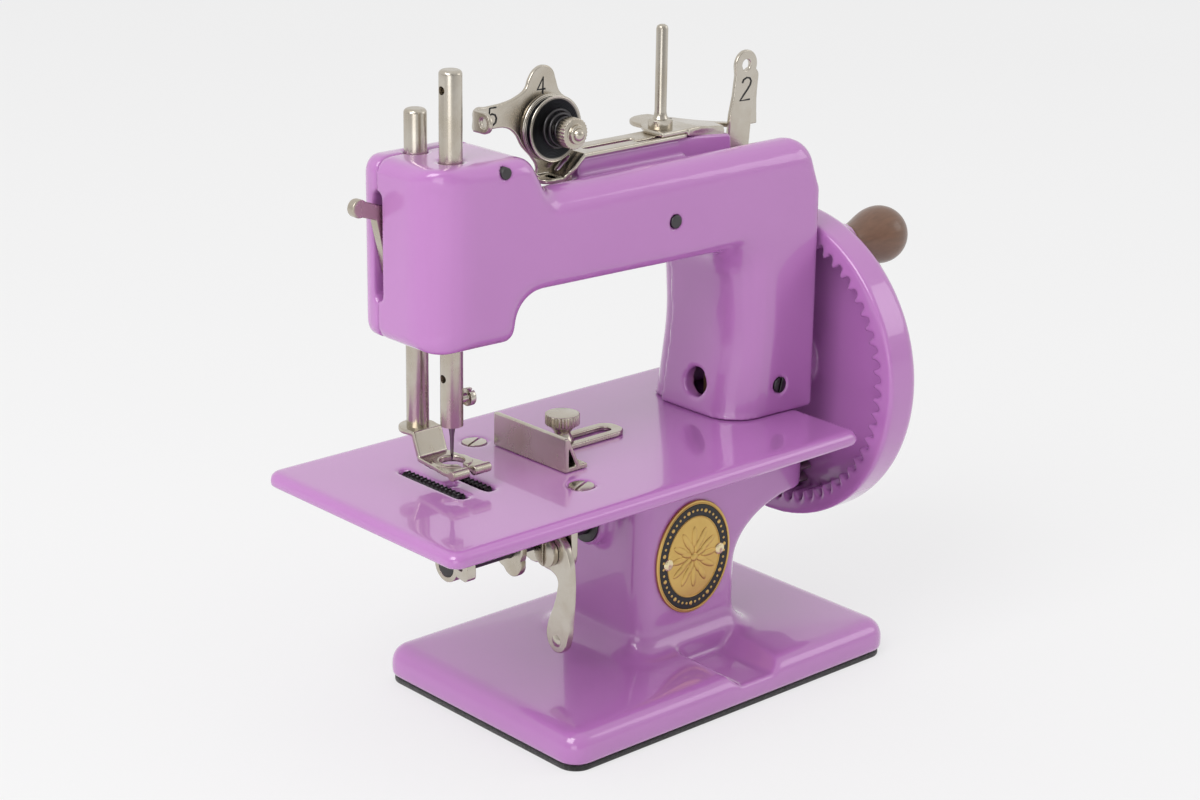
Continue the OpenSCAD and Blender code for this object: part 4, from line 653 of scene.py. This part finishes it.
def rod(name, radius, start, end):
    """A round rod between two places in millimetres."""
    start = Vector(start) * MM
    end = Vector(end) * MM
    way = end - start
    turn = way.to_track_quat("Z", "Y").to_euler()
    piece = fresh(
        bpy.ops.mesh.primitive_cylinder_add,
        vertices=48, radius=radius * MM, depth=way.length, location=(start + end) / 2, rotation=turn,
    )
    piece.name = name
    return settled(piece)


def ball(place, scale, radius, segments, material):
    """A flattened ball in metres, with its material."""
    piece = fresh(
        bpy.ops.mesh.primitive_uv_sphere_add,
        segments=segments, ring_count=segments // 2, radius=radius, location=place,
    )
    piece.scale = scale
    bpy.ops.object.shade_smooth()
    piece.data.materials.append(material)
    return piece


def melted(name, pieces, grain, rounding):
    """Pieces run together into one skin with soft bends."""
    return skinned(joined(name, pieces), grain, rounding)


# Operators


class SEWING_OT_castings(bpy.types.Operator):
    """Paint the base, the arm halves and the hand wheel"""

    bl_idname = "sewing.castings"
    bl_label = "Painted Castings"

    def execute(self, context):
        looks = context.scene.sewing_looks
        for node, share in CASTINGS.items():
            grain = looks.enamel.grain * share / MM
            piece = skinned(cad_copy(node, node + "_painted"), grain, looks.enamel.rounding)
            wear(piece, node, finish_of("enamel", looks))
        return {"FINISHED"}


class SEWING_OT_sheets(bpy.types.Operator):
    """Wear the edges of the sheet metal pieces round and plate them"""

    bl_idname = "sewing.sheets"
    bl_label = "Sheet Metal"

    def execute(self, context):
        looks = context.scene.sewing_looks
        for node, grain in SHEETS.items():
            piece = skinned(cad_copy(node, node + "_pressed"), grain, 6)
            wear(piece, node, finish_of(FINISH_AND_PAINTED_SHADE_OF.get(node, SLOT_OF[node]), looks))
        return {"FINISHED"}


class SEWING_OT_trim(bpy.types.Operator):
    """Break the edges of the turned metal pieces and plate them"""

    bl_idname = "sewing.trim"
    bl_label = "Turned Metal"

    def execute(self, context):
        looks = context.scene.sewing_looks
        for node, slot in SLOT_OF.items():
            if slot in COATED or node in SHEETS or node in REMADE:
                continue
            piece = broken_edges(node, looks.trim.edge)
            if node in SNUG:
                gap = piece.modifiers.new("gap", "DISPLACE")
                gap.mid_level = 0.0
                gap.strength = -SNUG_GAP * MM
                settled(piece)
            # The looper's bush and shaft are darkened here as painted shade under the bed.
            wear(piece, node, finish_of(FINISH_AND_PAINTED_SHADE_OF.get(node, slot), looks))
        return {"FINISHED"}


class SEWING_OT_tension_coil(bpy.types.Operator):
    """Wind the conical spring of the tension unit"""

    bl_idname = "sewing.tension_coil"
    bl_label = "Tension Spring"

    def execute(self, context):
        looks = context.scene.sewing_looks
        low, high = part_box("tension_spring")
        stud_low, stud_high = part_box("tension_stud")
        centre_x = (low[0] + high[0]) / 2
        centre_z = (stud_low[2] + stud_high[2]) / 2
        wire = 0.45 * MM
        turns = 3.0
        steps = 102
        big = (high[0] - low[0]) / 2 - wire
        small = 2.6 * MM
        points = []
        for step in range(steps + 1):
            share = step / steps
            angle = 2.0 * math.pi * turns * share
            radius = big + (small - big) * share
            place = high[1] - wire + (low[1] - high[1] + 2.0 * wire) * share
            points.append((centre_x + radius * math.cos(angle), place, centre_z + radius * math.sin(angle)))
        piece = stroke(points, wire, "tension_spring_wound")
        wear(piece, "tension_spring", finish_of("blued_steel", looks))
        return {"FINISHED"}


class SEWING_OT_tension_bracket(bpy.types.Operator):
    """Cut and fold the bracket of the tension unit"""

    bl_idname = "sewing.tension_bracket"
    bl_label = "Tension Bracket"

    def execute(self, context):
        looks = context.scene.sewing_looks
        hub = span("tension_stud")[2]
        outline = [
            (-53.4, 155.2), (-53.6, 157.8), (-53.2, 160.4), (-49.5, 160.7), (-44.5, 161.0), (-40.4, 161.9),
            (-37.3, 163.6), (-36.2, 165.9), (-34.4, 168.0), (-31.6, 168.8), (-28.8, 167.5), (-27.6, 164.8),
            (-26.4, 161.8), (-22.9, 158.6), (-21.5, 153.2), (-23.2, 148.8), (-26.4, 145.4), (-27.2, 143.0),
            (-27.0, 140.6), (-33.8, 140.6), (-33.6, 143.2), (-35.2, 145.8), (-38.4, 149.2), (-40.6, 152.6),
            (-43.4, 154.5), (-48.6, 155.0),
        ]
        loops = [outline, hole((hub[0], hub[2]), 1.7)]
        sheet = plate("bracket_sheet", loops, SHEET, (0.0, 5.8, 0.0), FRONT, soft=True)
        eye = (1.9, 157.8)
        ear = arc(eye, 2.7, 90.0, 270.0) + [(5.8, 155.1), (5.8, 160.5)]
        lobe = plate("bracket_ear", [ear, hole(eye, 1.25, 20)], SHEET, (-53.3, 0.0, 0.0), SIDE)
        foot = block("bracket_foot", (-33.7, -0.6, 140.2), (-27.1, 6.3, 141.4))
        piece = melted("tension_bracket_folded", [sheet, lobe, foot], 0.2, 5)
        wear(piece, "tension_bracket", finish_of("nickel", looks))
        return {"FINISHED"}


class SEWING_OT_tension_discs(bpy.types.Operator):
    """Turn the two dished discs of the tension unit"""

    bl_idname = "sewing.tension_discs"
    bl_label = "Tension Discs"

    def execute(self, context):
        looks = context.scene.sewing_looks
        low, high, centre = span("tension_discs")
        radius = (high[0] - low[0]) / 2
        bore = 1.7
        dish = (
            (0.50, 0.55), (0.62, 0.62), (0.78, 1.0), (0.91, 1.5), (0.955, 1.62), (0.99, 1.55), (1.0, 1.35),
            (0.985, 1.18), (0.94, 1.05), (0.78, 0.5), (0.62, 0.12), (0.50, 0.1),
        )
        profile = [(bore, 0.1), (bore, 0.55)]
        profile += [(radius * share, height) for share, height in dish]
        profile.append((bore, 0.1))
        front = lathe("disc_front", profile, centre, FRONT)
        back = lathe("disc_back", profile, centre, (-math.pi / 2, 0.0, 0.0))
        piece = joined("tension_discs_turned", [front, back])
        wear(piece, "tension_discs", disc_finish(looks, (centre[0], centre[2]), radius))
        return {"FINISHED"}


class SEWING_OT_pin_faces(bpy.types.Operator):
    """Dome the end of the tension stud and face the pins in the arm's front"""

    bl_idname = "sewing.pin_faces"
    bl_label = "Pin Faces"

    def execute(self, context):
        looks = context.scene.sewing_looks
        dome = [(0.0, 1.5), (0.7, 1.35), (1.3, 0.95), (1.65, 0.3), (1.7, -0.6), (0.0, -0.6)]
        face = [(0.0, 0.16), (0.82, 0.14), (0.95, 0.06), (1.0, -0.05), (1.0, -1.2), (0.0, -1.2)]
        rows = (
            ("tension_stud", dome, 1.0, "nickel"),
            ("head_pin", face, 1.5, "dark_pin_and_painted_shade"),
            ("lever_pivot_screw", face, 1.75, "dark_pin_and_painted_shade"),
        )
        for node, profile, size, slot in rows:
            low, high, centre = span(node)
            shape = [(radius * size, height) for radius, height in profile]
            piece = lathe(node + "_face", shape, (centre[0], low[1], centre[2]), FRONT, 40)
            wear(piece, node, finish_of(slot, looks), False)
        return {"FINISHED"}


class SEWING_OT_thread_strip(bpy.types.Operator):
    """Cut and bend the slotted strip on the arm"""

    bl_idname = "sewing.thread_strip"
    bl_label = "Thread Strip"

    def execute(self, context):
        looks = context.scene.sewing_looks
        low, high, centre = span("thread_strip")
        level = centre[2]
        thick = high[2] - low[2]
        front = low[1]
        back = high[1]
        middle = centre[1]
        right = 13.0
        corner = 2.6
        drop = 5.2
        run = 6.4
        bend_x = -23.6
        foot_x = bend_x - run
        slope = math.atan2(drop, run)
        length = math.hypot(drop, run)
        body = [(bend_x, front), (right - corner, front)]
        body += arc((right - corner, front + corner), corner, -90.0, 0.0)
        body += arc((right - corner, back - corner), corner, 0.0, 90.0) + [(bend_x, back)]
        slots = [
            arc((-4.0, middle), 1.1, -90.0, 90.0) + arc((-19.0, middle), 1.1, 90.0, 270.0),
            arc((8.0, front + 2.2), 0.7, -90.0, 90.0) + arc((-4.0, front + 2.2), 0.7, 90.0, 270.0),
        ]
        top = plate("strip_top", [body, *slots], thick, (0.0, 0.0, level), FLAT)
        ramp = [
            (0.0, front + 0.4), (length * 0.5, front - 0.2), (length + 0.5, front), (length + 0.5, back),
            (length * 0.5, back - 1.6), (0.0, back - 3.4),
        ]
        gap = arc((length * 0.75, middle), 0.8, -90.0, 90.0) + arc((length * 0.3, middle), 0.8, 90.0, 270.0)
        fall = plate("strip_fall", [ramp, gap], thick, (foot_x, 0.0, level - drop), (0.0, -slope, 0.0))
        toe = [(foot_x + 0.5, front + 0.4), (foot_x + 0.5, back - 3.4), (-33.8, back - 4.2)]
        toe += arc((-33.8, front + 3.0), 2.4, 90.0, 270.0)
        end = plate("strip_end", [toe], thick, (0.0, 0.0, level - drop), FLAT)
        piece = melted("thread_strip_bent", [top, fall, end], 0.24, 5)
        wear(piece, "thread_strip", finish_of("nickel", looks))
        return {"FINISHED"}


class SEWING_OT_spool_plate(bpy.types.Operator):
    """Cut the plate under the spool pin, with its upright leaf, and carry the rail on below it"""

    bl_idname = "sewing.spool_plate"
    bl_label = "Spool Plate"

    def execute(self, context):
        looks = context.scene.sewing_looks
        bottom = span("spool_plate")[0][2]
        rail_top = span("thread_strip")[0][2]
        middle = bottom + SHEET / 2
        bend_x = 16.0
        leaf_y = 9.8
        leaf_low = bottom - 4.1
        lean = (0.0, math.radians(9.5), 0.0)
        lobe = [(3.2, -1.2), (bend_x + 0.6, -1.0), (bend_x + 0.6, 18.2)]
        lobe += arc((13.4, 12.0), 7.2, 66.0, 190.0, 26) + [(3.2, 6.0)]
        flat = plate("spool_flat", [lobe], SHEET, (0.0, 0.0, middle), FLAT)
        outline = [(bend_x, -1.0), (29.0, 2.6), (30.4, 7.4), (44.0, 7.4), (44.0, 10.4)]
        outline += arc((34.0, 34.4), 24.0, 270.0, 224.0, 16) + [(bend_x, 18.5)]
        tail = [(x - bend_x, y) for x, y in outline]
        sheet = plate("spool_sheet", [tail], SHEET, (bend_x, 0.0, middle), lean)
        strip_edge = [(-4.0, -1.4), (13.0, 2.4), (13.0, 6.0), (-4.0, 6.0)]
        lip = plate("spool_lip", [strip_edge], 1.7, (bend_x, 0.0, bottom - 0.5), lean)
        eye = (45.2, 155.2)
        leaf = [(42.6, leaf_low), (42.8, 152.0), (42.4, 154.6)] + arc(eye, 3.0, 180.0, 10.0)
        leaf += [(47.8, 152.4), (47.6, 149.0), (47.9, leaf_low)]
        upright = plate("spool_leaf", [leaf, hole(eye, 1.2, 20)], SHEET, (0.0, leaf_y, 0.0), FRONT)
        piece = melted("spool_plate_cut", [flat, sheet, lip, upright], 0.24, 5)
        wear(piece, "spool_plate", finish_of("nickel", looks))
        side = [
            (9.0, rail_top - 9.0), (9.0, rail_top - 0.1), (bend_x, rail_top - 0.1), (27.6, rail_top - 1.2),
            (28.6, rail_top - 2.0), (29.0, rail_top - 9.0),
        ]
        rail = plate("rail_end", [side], 8.5, (0.0, 3.75, 0.0), FRONT, edge=0.7)
        bpy.ops.object.shade_smooth_by_angle(angle=CREASE)
        wear(rail, "arm_front", finish_of("enamel", looks), False)
        return {"FINISHED"}


class SEWING_OT_spool_pin(bpy.types.Operator):
    """Turn the spool pin with its base, and lay a dark rod in the base's slot as painted shade"""

    bl_idname = "sewing.spool_pin"
    bl_label = "Spool Pin"

    def execute(self, context):
        looks = context.scene.sewing_looks
        low, high, (x, y, _) = span("spool_pin")
        tall = high[2] - low[2]
        wide = (high[0] - low[0]) / 2
        pin = 1.55
        profile = [
            (0.0, 0.0), (1.5, 0.0), (1.5, 8.0), (wide - 0.2, 8.0), (wide, 8.3), (wide, 10.4),
            (wide - 0.3, 10.75), (2.1, 10.85), (1.75, 11.5), (pin, 12.6), (pin, tall - 1.1),
            (1.3, tall - 0.4), (0.7, tall - 0.05), (0.0, tall),
        ]
        piece = lathe("spool_pin_turned", profile, (x, y, low[2]), FLAT, 48)
        wear(piece, "spool_pin", finish_of("nickel", looks))
        # The slot in the base is not cut: a dark ink rod lies there as painted shade.
        cut = low[2] + 10.55
        slot = rod("spool_pin_slot_shade", 0.3, (x - 1.2, y - 2.3, cut), (x + 2.2, y - 1.7, cut))
        wear(slot, "spool_pin", finish_of("ink", looks), False)
        return {"FINISHED"}


class SEWING_OT_thread_lever(bpy.types.Operator):
    """Give the take-up lever its round head and eye"""

    bl_idname = "sewing.thread_lever"
    bl_label = "Thread Lever"

    def execute(self, context):
        looks = context.scene.sewing_looks
        high = span("thread_lever")[1]
        cut_z = 136.0
        head = (39.5, high[2] - 4.0)
        foot = cad_copy("thread_lever", "lever_foot")
        in_edit(
            foot, bpy.ops.mesh.bisect,
            plane_co=(0.0, 0.0, cut_z * MM), plane_no=(0.0, 0.0, 1.0), use_fill=True, clear_outer=True,
        )
        outline = [(41.0, cut_z - 0.5), (33.0, cut_z - 0.5), (33.9, 147.1), (35.1, 152.1), (35.8, 157.4)]
        outline += arc(head, 4.0, 190.0, -20.0, 24) + [(42.9, 155.4), (42.2, 148.0)]
        place = (0.0, high[1] - SHEET / 2, 0.0)
        upper = plate("lever_upper", [outline, hole(head, 1.5)], SHEET, place, FRONT)
        piece = melted("thread_lever_cut", [upper, foot], 0.2, 4)
        wear(piece, "thread_lever", finish_of("nickel", looks))
        return {"FINISHED"}


class SEWING_OT_finger_lever(bpy.types.Operator):
    """Cut the hanging lever under the bed"""

    bl_idname = "sewing.finger_lever"
    bl_label = "Finger Lever"

    def execute(self, context):
        looks = context.scene.sewing_looks
        low, high, centre = span("finger_lever")
        pivot = span("finger_lever_screw")[2][1:]
        outline = [
            (-8.2, 19.4), (-10.6, 18.7), (-13.2, 20.0), (-14.6, 23.0), (-15.2, 28.0), (-15.7, 34.0),
            (-15.6, 41.0), (-14.7, 46.0), (-12.2, 50.0), (-8.6, 51.4), (-4.6, 50.6), (-2.0, 47.6),
            (-2.2, 43.8), (-4.8, 41.2), (-8.4, 40.6), (-10.4, 39.2), (-10.3, 35.8), (-8.9, 31.1),
            (-7.0, 26.5), (-6.4, 22.8),
        ]
        loops = [outline, hole(pivot, 2.0)]
        place = (centre[0], 0.0, 0.0)
        sheet = plate("lever_sheet", loops, high[0] - low[0], place, SIDE, edge=0.3, soft=True)
        bpy.ops.object.shade_smooth_by_angle(angle=SOFT_CREASE)
        bulge = [(0.0, 0.5), (1.0, 0.4), (1.6, 0.05), (1.7, -0.3), (0.0, -0.3)]
        dent = lathe("lever_dent", bulge, (low[0], -10.4, 22.0), (0.0, -math.pi / 2, 0.0), 32)
        piece = joined("finger_lever_cut", [sheet, dent])
        wear(piece, "finger_lever", finish_of("nickel", looks))
        return {"FINISHED"}


class SEWING_OT_presser_foot(bpy.types.Operator):
    """Fold the presser foot with its ring and two rolled toes"""

    bl_idname = "sewing.presser_foot"
    bl_label = "Presser Foot"

    def execute(self, context):
        looks = context.scene.sewing_looks
        bar_low, bar_high, bar = span("presser_bar")
        x, y, _ = span("needle")[2]
        toe = 1.3
        thick = 1.3
        sole = span("presser_foot")[0][2] + toe
        top = bar_low[2] + 0.9
        bar_y = bar[1]
        half = 6.0
        neck = 4.5
        toe_y = y - 7.0
        slit = 0.8
        bore = 3.2
        lip = math.degrees(math.asin(slit / bore))
        shape = [(x - slit, toe_y)] + arc((x, y), bore, -90.0 - lip, -450.0 + lip, 28) + [(x + slit, toe_y)]
        side = [(half, toe_y), (half + 0.2, y - 4.0), (half - 0.6, y + 1.0), (neck + 0.1, bar_y - 5.6)]
        shape += [(x + reach, place) for reach, place in side]
        shape += [(x - reach, place) for reach, place in reversed(side)]
        tread = plate("foot_tread", [shape], thick, (0.0, 0.0, sole + 0.05), FLAT)
        ring = arc((x, y), 5.1, -79.0, 259.0, 40) + arc((x, y), bore, 270.0 - lip, -90.0 + lip, 28)
        rim = plate("foot_ring", [ring], thick, (0.0, 0.0, sole + 0.5), FLAT, edge=0.4)
        parts = [tread, rim]
        for way in (-1, 1):
            inner = x + way * (slit + 0.1)
            outer = x + way * half
            parts.append(rod("foot_toe", toe, (inner, toe_y, sole), (outer, toe_y, sole)))
        lean = (-math.atan2(2.4, top - sole), 0.0, 0.0)
        middle = bar_y - 4.6
        low = (x - neck, middle - thick / 2, sole)
        high = (x + neck, middle + thick / 2, top + 0.4)
        parts.append(block("foot_riser", low, high, lean))
        ear = arc((x, bar_y), 4.9, -20.0, 200.0, 30) + [(x - neck, bar_y - 4.0), (x + neck, bar_y - 4.0)]
        parts.append(plate("foot_ear", [ear], thick, (0.0, 0.0, top), FLAT))
        piece = melted("presser_foot_folded", parts, 0.2, 4)
        wear(piece, "presser_foot", finish_of("nickel", looks))
        return {"FINISHED"}


class SEWING_OT_needle(bpy.types.Operator):
    """Turn the needle with its stepped shank"""

    bl_idname = "sewing.needle"
    bl_label = "Needle"

    def execute(self, context):
        looks = context.scene.sewing_looks
        low, high, (x, y, _) = span("needle")
        length = high[2] - low[2]
        shank = (high[0] - low[0]) / 2
        profile = [
            (0.0, 0.0), (0.12, 0.25), (0.4, 2.2), (0.46, 4.0), (0.52, 6.6), (0.8, 8.6), (shank, 9.4),
            (shank, length), (0.0, length),
        ]
        piece = lathe("needle_ground", profile, (x, y, low[2]), FLAT, 32)
        wear(piece, "needle", finish_of("blued_needle", looks))
        return {"FINISHED"}


class SEWING_OT_numerals(bpy.types.Operator):
    """Engrave the threading numerals"""

    bl_idname = "sewing.numerals"
    bl_label = "Numerals"

    def execute(self, context):
        looks = context.scene.sewing_looks
        ink = finish_of("engraving", looks)
        rows = (
            ("two", "thread_lever", (37.3, 150.6), 6.0, 0.1, 5.42),
            ("four", "tension_bracket", (-33.8, 161.6), 4.2, 0.04, 5.22),
            ("five", "tension_bracket", (-49.4, 155.9), 4.4, 0.0, 5.22),
        )
        for name, node, corner, height, lean, face in rows:
            points = []
            for across, up in NUMERALS[name]:
                x = corner[0] + (across + lean * up) * height
                z = corner[1] + up * height
                points.append((x * MM, face * MM, z * MM))
            piece = stroke(points, 0.26 * MM, "numeral_" + name)
            wear(piece, node, ink, False)
        return {"FINISHED"}


class SEWING_OT_handle(bpy.types.Operator):
    """Lacquer the crank handle"""

    bl_idname = "sewing.handle"
    bl_label = "Crank Handle"

    def execute(self, context):
        looks = context.scene.sewing_looks
        piece = skinned(cad_copy("crank_handle", "crank_handle_turned"), 0.4, 6)
        wear(piece, "crank_handle", finish_of("handle_wood", looks))
        return {"FINISHED"}


class SEWING_OT_felt(bpy.types.Operator):
    """Soften the felt's edges and colour it"""

    bl_idname = "sewing.felt"
    bl_label = "Felt"

    def execute(self, context):
        looks = context.scene.sewing_looks
        piece = broken_edges("base_felt", 0.3 * MM)
        wear(piece, "base_felt", finish_of("felt", looks))
        return {"FINISHED"}


class SEWING_OT_medallion(bpy.types.Operator):
    """Stamp the oval medallion with a dark beaded band and a rosette"""

    bl_idname = "sewing.medallion"
    bl_label = "Medallion"

    def execute(self, context):
        looks = context.scene.sewing_looks
        low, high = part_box("medallion")
        self.half = ((high[0] - low[0]) / 2, (high[2] - low[2]) / 2)
        self.centre = Vector(((low[0] + high[0]) / 2, low[1], (low[2] + high[2]) / 2))
        gilt = finish_of("gilt", looks)
        parts = [self.oval(high[1] - low[1], gilt)]
        parts.append(self.band(0.935, 0.725, 0.05, finish_of("band_ink", looks)))
        parts.append(self.rim_line(0.95, 0.3, gilt))
        parts.append(self.rim_line(0.71, 0.26, gilt))
        parts += self.beads(looks.trim.bead_count, gilt)
        parts += self.rosette(gilt)
        for part in parts:
            settled(part)
        piece = joined("medallion_stamped", parts)
        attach(piece, BODY_OF["medallion"])
        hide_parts("medallion")
        return {"FINISHED"}

    def at(self, angle, share, proud=0.0):
        """A place on the face at an angle and a share of the oval's half sizes."""
        across = self.half[0] * share * math.cos(angle)
        up = self.half[1] * share * math.sin(angle)
        return self.centre + Vector((across, -proud, up))

    def oval(self, depth, material):
        """The oval plate with a rounded rim."""
        middle = self.centre + Vector((0.0, depth / 2, 0.0))
        made = fresh(
            bpy.ops.mesh.primitive_cylinder_add,
            vertices=128, radius=1.0, depth=1.0, location=middle, rotation=FRONT,
        )
        made.scale = (*self.half, depth)
        settled(made)
        bevel = made.modifiers.new("rim", "BEVEL")
        bevel.width = 0.25 * MM
        bevel.segments = 3
        bevel.limit_method = "ANGLE"
        settled(made)
        bpy.ops.object.shade_smooth_by_angle(angle=SOFT_CREASE)
        made.data.materials.append(material)
        return made

    def band(self, outer, inner, proud, material):
        """A flat oval band on the face."""
        half_width = (outer - inner) / 2
        made = fresh(
            bpy.ops.mesh.primitive_torus_add,
            major_segments=128, minor_segments=12, major_radius=(outer + inner) / 2, minor_radius=half_width,
            location=self.centre, rotation=FRONT,
        )
        made.scale = (*self.half, proud * MM / half_width)
        settled(made)
        bpy.ops.object.shade_smooth()
        made.data.materials.append(material)
        return made

    def rim_line(self, share, thick, material):
        """A raised round line along the oval."""
        points = [self.at(2.0 * math.pi * step / 360, share, 0.02 * MM) for step in range(361)]
        made = stroke(points, thick * MM / 2, "medallion_rope")
        made.data.materials.append(material)
        return made

    def beads(self, count, material):
        """Small beads along the band, each fourth one larger."""
        made = []
        for step in range(count):
            place = self.at(2.0 * math.pi * (step + 0.5) / count, 0.83)
            size = 0.62 if step % 4 == 0 else 0.4
            made.append(ball(place, (1.0, 0.4, 1.0), size * MM, 16, material))
        return made

    def rosette(self, material):
        """A plain flower of leaves round a button."""
        made = []
        for ring, count, reach, length, width in ((0, 12, 5.6, 3.0, 0.95), (1, 8, 3.0, 2.1, 0.85)):
            for step in range(count):
                angle = 2.0 * math.pi * (step + 0.5 * ring) / count
                place = self.centre + Vector((math.cos(angle), 0.0, math.sin(angle))) * reach * MM
                leaf = ball(place, (length, 0.32, width), MM, 20, material)
                leaf.rotation_euler = (0.0, -angle, 0.0)
                made.append(leaf)
        made.append(ball(self.centre, (1.3, 0.5, 1.3), MM, 24, material))
        return made


class SEWING_OT_stage(bpy.types.Operator):
    """Set the floor, the light and the camera"""

    bl_idname = "sewing.stage"
    bl_label = "Studio"

    def execute(self, context):
        studio = context.scene.sewing_looks.studio
        self.floor(studio)
        self.light(context, studio)
        self.camera(context, studio)
        context.scene.view_settings.view_transform = "Standard"
        return {"FINISHED"}

    def floor(self, studio):
        floor = fresh(bpy.ops.mesh.primitive_plane_add, size=12.0, location=(0.0, 0.0, 0.0))
        floor.name = "floor"
        paper = Finish("paper")
        cloud = paper.noise(3.0, 2.0)
        tint = tuple(studio.floor_tint)
        shade = tuple(channel * 0.985 for channel in tint)
        colour = paper.blend(cloud, tint, shade)
        card = paper.node("ShaderNodeBsdfDiffuse", {}, {"Color": colour}, 0)
        glow = paper.node("ShaderNodeEmission", {}, {"Color": colour, "Strength": 1.0}, 0)
        seen = paper.node("ShaderNodeLightPath", {}, {}, "Is Camera Ray")
        mirrored = paper.node("ShaderNodeLightPath", {}, {}, "Is Glossy Ray")
        share = paper.math("MAXIMUM", seen, mirrored) * studio.floor_glow
        blend = paper.node("ShaderNodeMixShader", {}, {0: share, 1: card, 2: glow}, 0)
        paper.node("ShaderNodeOutputMaterial", {}, {"Surface": blend}, None)
        floor.data.materials.append(paper.material)

    def light(self, context, studio):
        world = bpy.data.worlds.new("studio")
        world.use_nodes = True
        context.scene.world = world
        tree = world.node_tree
        backdrop = tree.nodes["Background"]
        where = tree.nodes.new("ShaderNodeTexCoord")
        facing = tree.nodes.new("ShaderNodeVectorMath")
        facing.operation = "DOT_PRODUCT"
        facing.inputs[1].default_value = (0.55, 0.66, 0.51)
        spread = tree.nodes.new("ShaderNodeMapRange")
        spread.inputs["From Min"].default_value = -1.0
        rise = tree.nodes.new("ShaderNodeValToRGB")
        stops = rise.color_ramp.elements
        stops[0].position = 0.12
        stops[0].color = (0.46, 0.455, 0.45, 1.0)
        stops[1].position = 0.72
        stops[1].color = (1.0, 0.995, 0.985, 1.0)
        tree.links.new(where.outputs["Generated"], facing.inputs[0])
        tree.links.new(facing.outputs["Value"], spread.inputs["Value"])
        tree.links.new(spread.outputs["Result"], rise.inputs["Fac"])
        tree.links.new(rise.outputs["Color"], backdrop.inputs["Color"])
        backdrop.inputs["Strength"].default_value = studio.sky
        lamps = (
            ("key", (-0.95, -0.22, 1.0), 0.8, studio.key_power),
            ("side", (0.9, -0.7, 0.6), 0.5, studio.key_power * 0.12),
            ("fill", (-0.95, -0.75, 0.12), 0.6, studio.key_power * 0.2),
        )
        for name, place, size, power in lamps:
            lamp = fresh(bpy.ops.object.light_add, type="AREA", location=place)
            lamp.name = name
            lamp.data.size = size
            lamp.data.energy = power
            aim = Vector((0.0, 0.0, 0.08)) - Vector(place)
            lamp.rotation_euler = aim.to_track_quat("-Z", "Y").to_euler()

    def camera(self, context, studio):
        yaw, pitch, roll = studio.camera_turn
        ahead = Vector((math.sin(yaw) * math.cos(pitch), math.cos(yaw) * math.cos(pitch), -math.sin(pitch)))
        right = Vector((math.cos(yaw), -math.sin(yaw), 0.0))
        up = right.cross(ahead)
        side = math.cos(roll) * right + math.sin(roll) * up
        top = math.cos(roll) * up - math.sin(roll) * right
        turn = Matrix((side, top, -ahead)).transposed()
        place = tuple(studio.camera_place)
        camera = fresh(bpy.ops.object.camera_add, location=place, rotation=turn.to_euler())
        camera.name = "camera"
        camera.data.lens = studio.lens
        camera.data.sensor_width = 36.0
        camera.data.clip_start = 0.01
        context.scene.camera = camera


class SEWING_PT_panel(bpy.types.Panel):
    """Pieces of the sewing machine"""

    bl_idname = "SEWING_PT_panel"
    bl_label = "Sewing Machine"
    bl_space_type = "VIEW_3D"
    bl_region_type = "UI"
    bl_category = "Sewing Machine"

    def draw(self, context):
        looks = context.scene.sewing_looks
        for operator in OPERATORS:
            self.layout.operator(operator.bl_idname)
        for group in (looks.enamel, looks.trim, looks.studio):
            for key in group.__annotations__:
                self.layout.prop(group, key)


class SewingLooks(bpy.types.PropertyGroup):
    """All settings of the sewing machine's looks."""

    enamel: PointerProperty(type=EnamelSettings, name="Enamel", description="Paint of the castings")
    trim: PointerProperty(type=TrimSettings, name="Trim", description="Metal, handle and felt")
    studio: PointerProperty(type=StudioSettings, name="Studio", description="Camera and light")


OPERATORS = (
    SEWING_OT_castings,
    SEWING_OT_sheets,
    SEWING_OT_trim,
    SEWING_OT_tension_bracket,
    SEWING_OT_tension_discs,
    SEWING_OT_tension_coil,
    SEWING_OT_pin_faces,
    SEWING_OT_thread_strip,
    SEWING_OT_spool_plate,
    SEWING_OT_spool_pin,
    SEWING_OT_thread_lever,
    SEWING_OT_finger_lever,
    SEWING_OT_presser_foot,
    SEWING_OT_needle,
    SEWING_OT_numerals,
    SEWING_OT_handle,
    SEWING_OT_felt,
    SEWING_OT_medallion,
    SEWING_OT_stage,
)
CLASSES = (EnamelSettings, TrimSettings, StudioSettings, SewingLooks, *OPERATORS, SEWING_PT_panel)


def register():
    for kind in CLASSES:
        bpy.utils.register_class(kind)
    bpy.types.Scene.sewing_looks = PointerProperty(type=SewingLooks)


def unregister():
    del bpy.types.Scene.sewing_looks
    for kind in reversed(CLASSES):
        bpy.utils.unregister_class(kind)


def main():
    register()
    bpy.ops.sewing.castings()
    bpy.ops.sewing.sheets()
    bpy.ops.sewing.trim()
    bpy.ops.sewing.tension_bracket()
    bpy.ops.sewing.tension_discs()
    bpy.ops.sewing.tension_coil()
    bpy.ops.sewing.pin_faces()
    bpy.ops.sewing.thread_strip()
    bpy.ops.sewing.spool_plate()
    bpy.ops.sewing.spool_pin()
    bpy.ops.sewing.thread_lever()
    bpy.ops.sewing.finger_lever()
    bpy.ops.sewing.presser_foot()
    bpy.ops.sewing.needle()
    bpy.ops.sewing.numerals()
    bpy.ops.sewing.handle()
    bpy.ops.sewing.felt()
    bpy.ops.sewing.medallion()
    bpy.ops.sewing.stage()


if __name__ == "__main__":
    main()
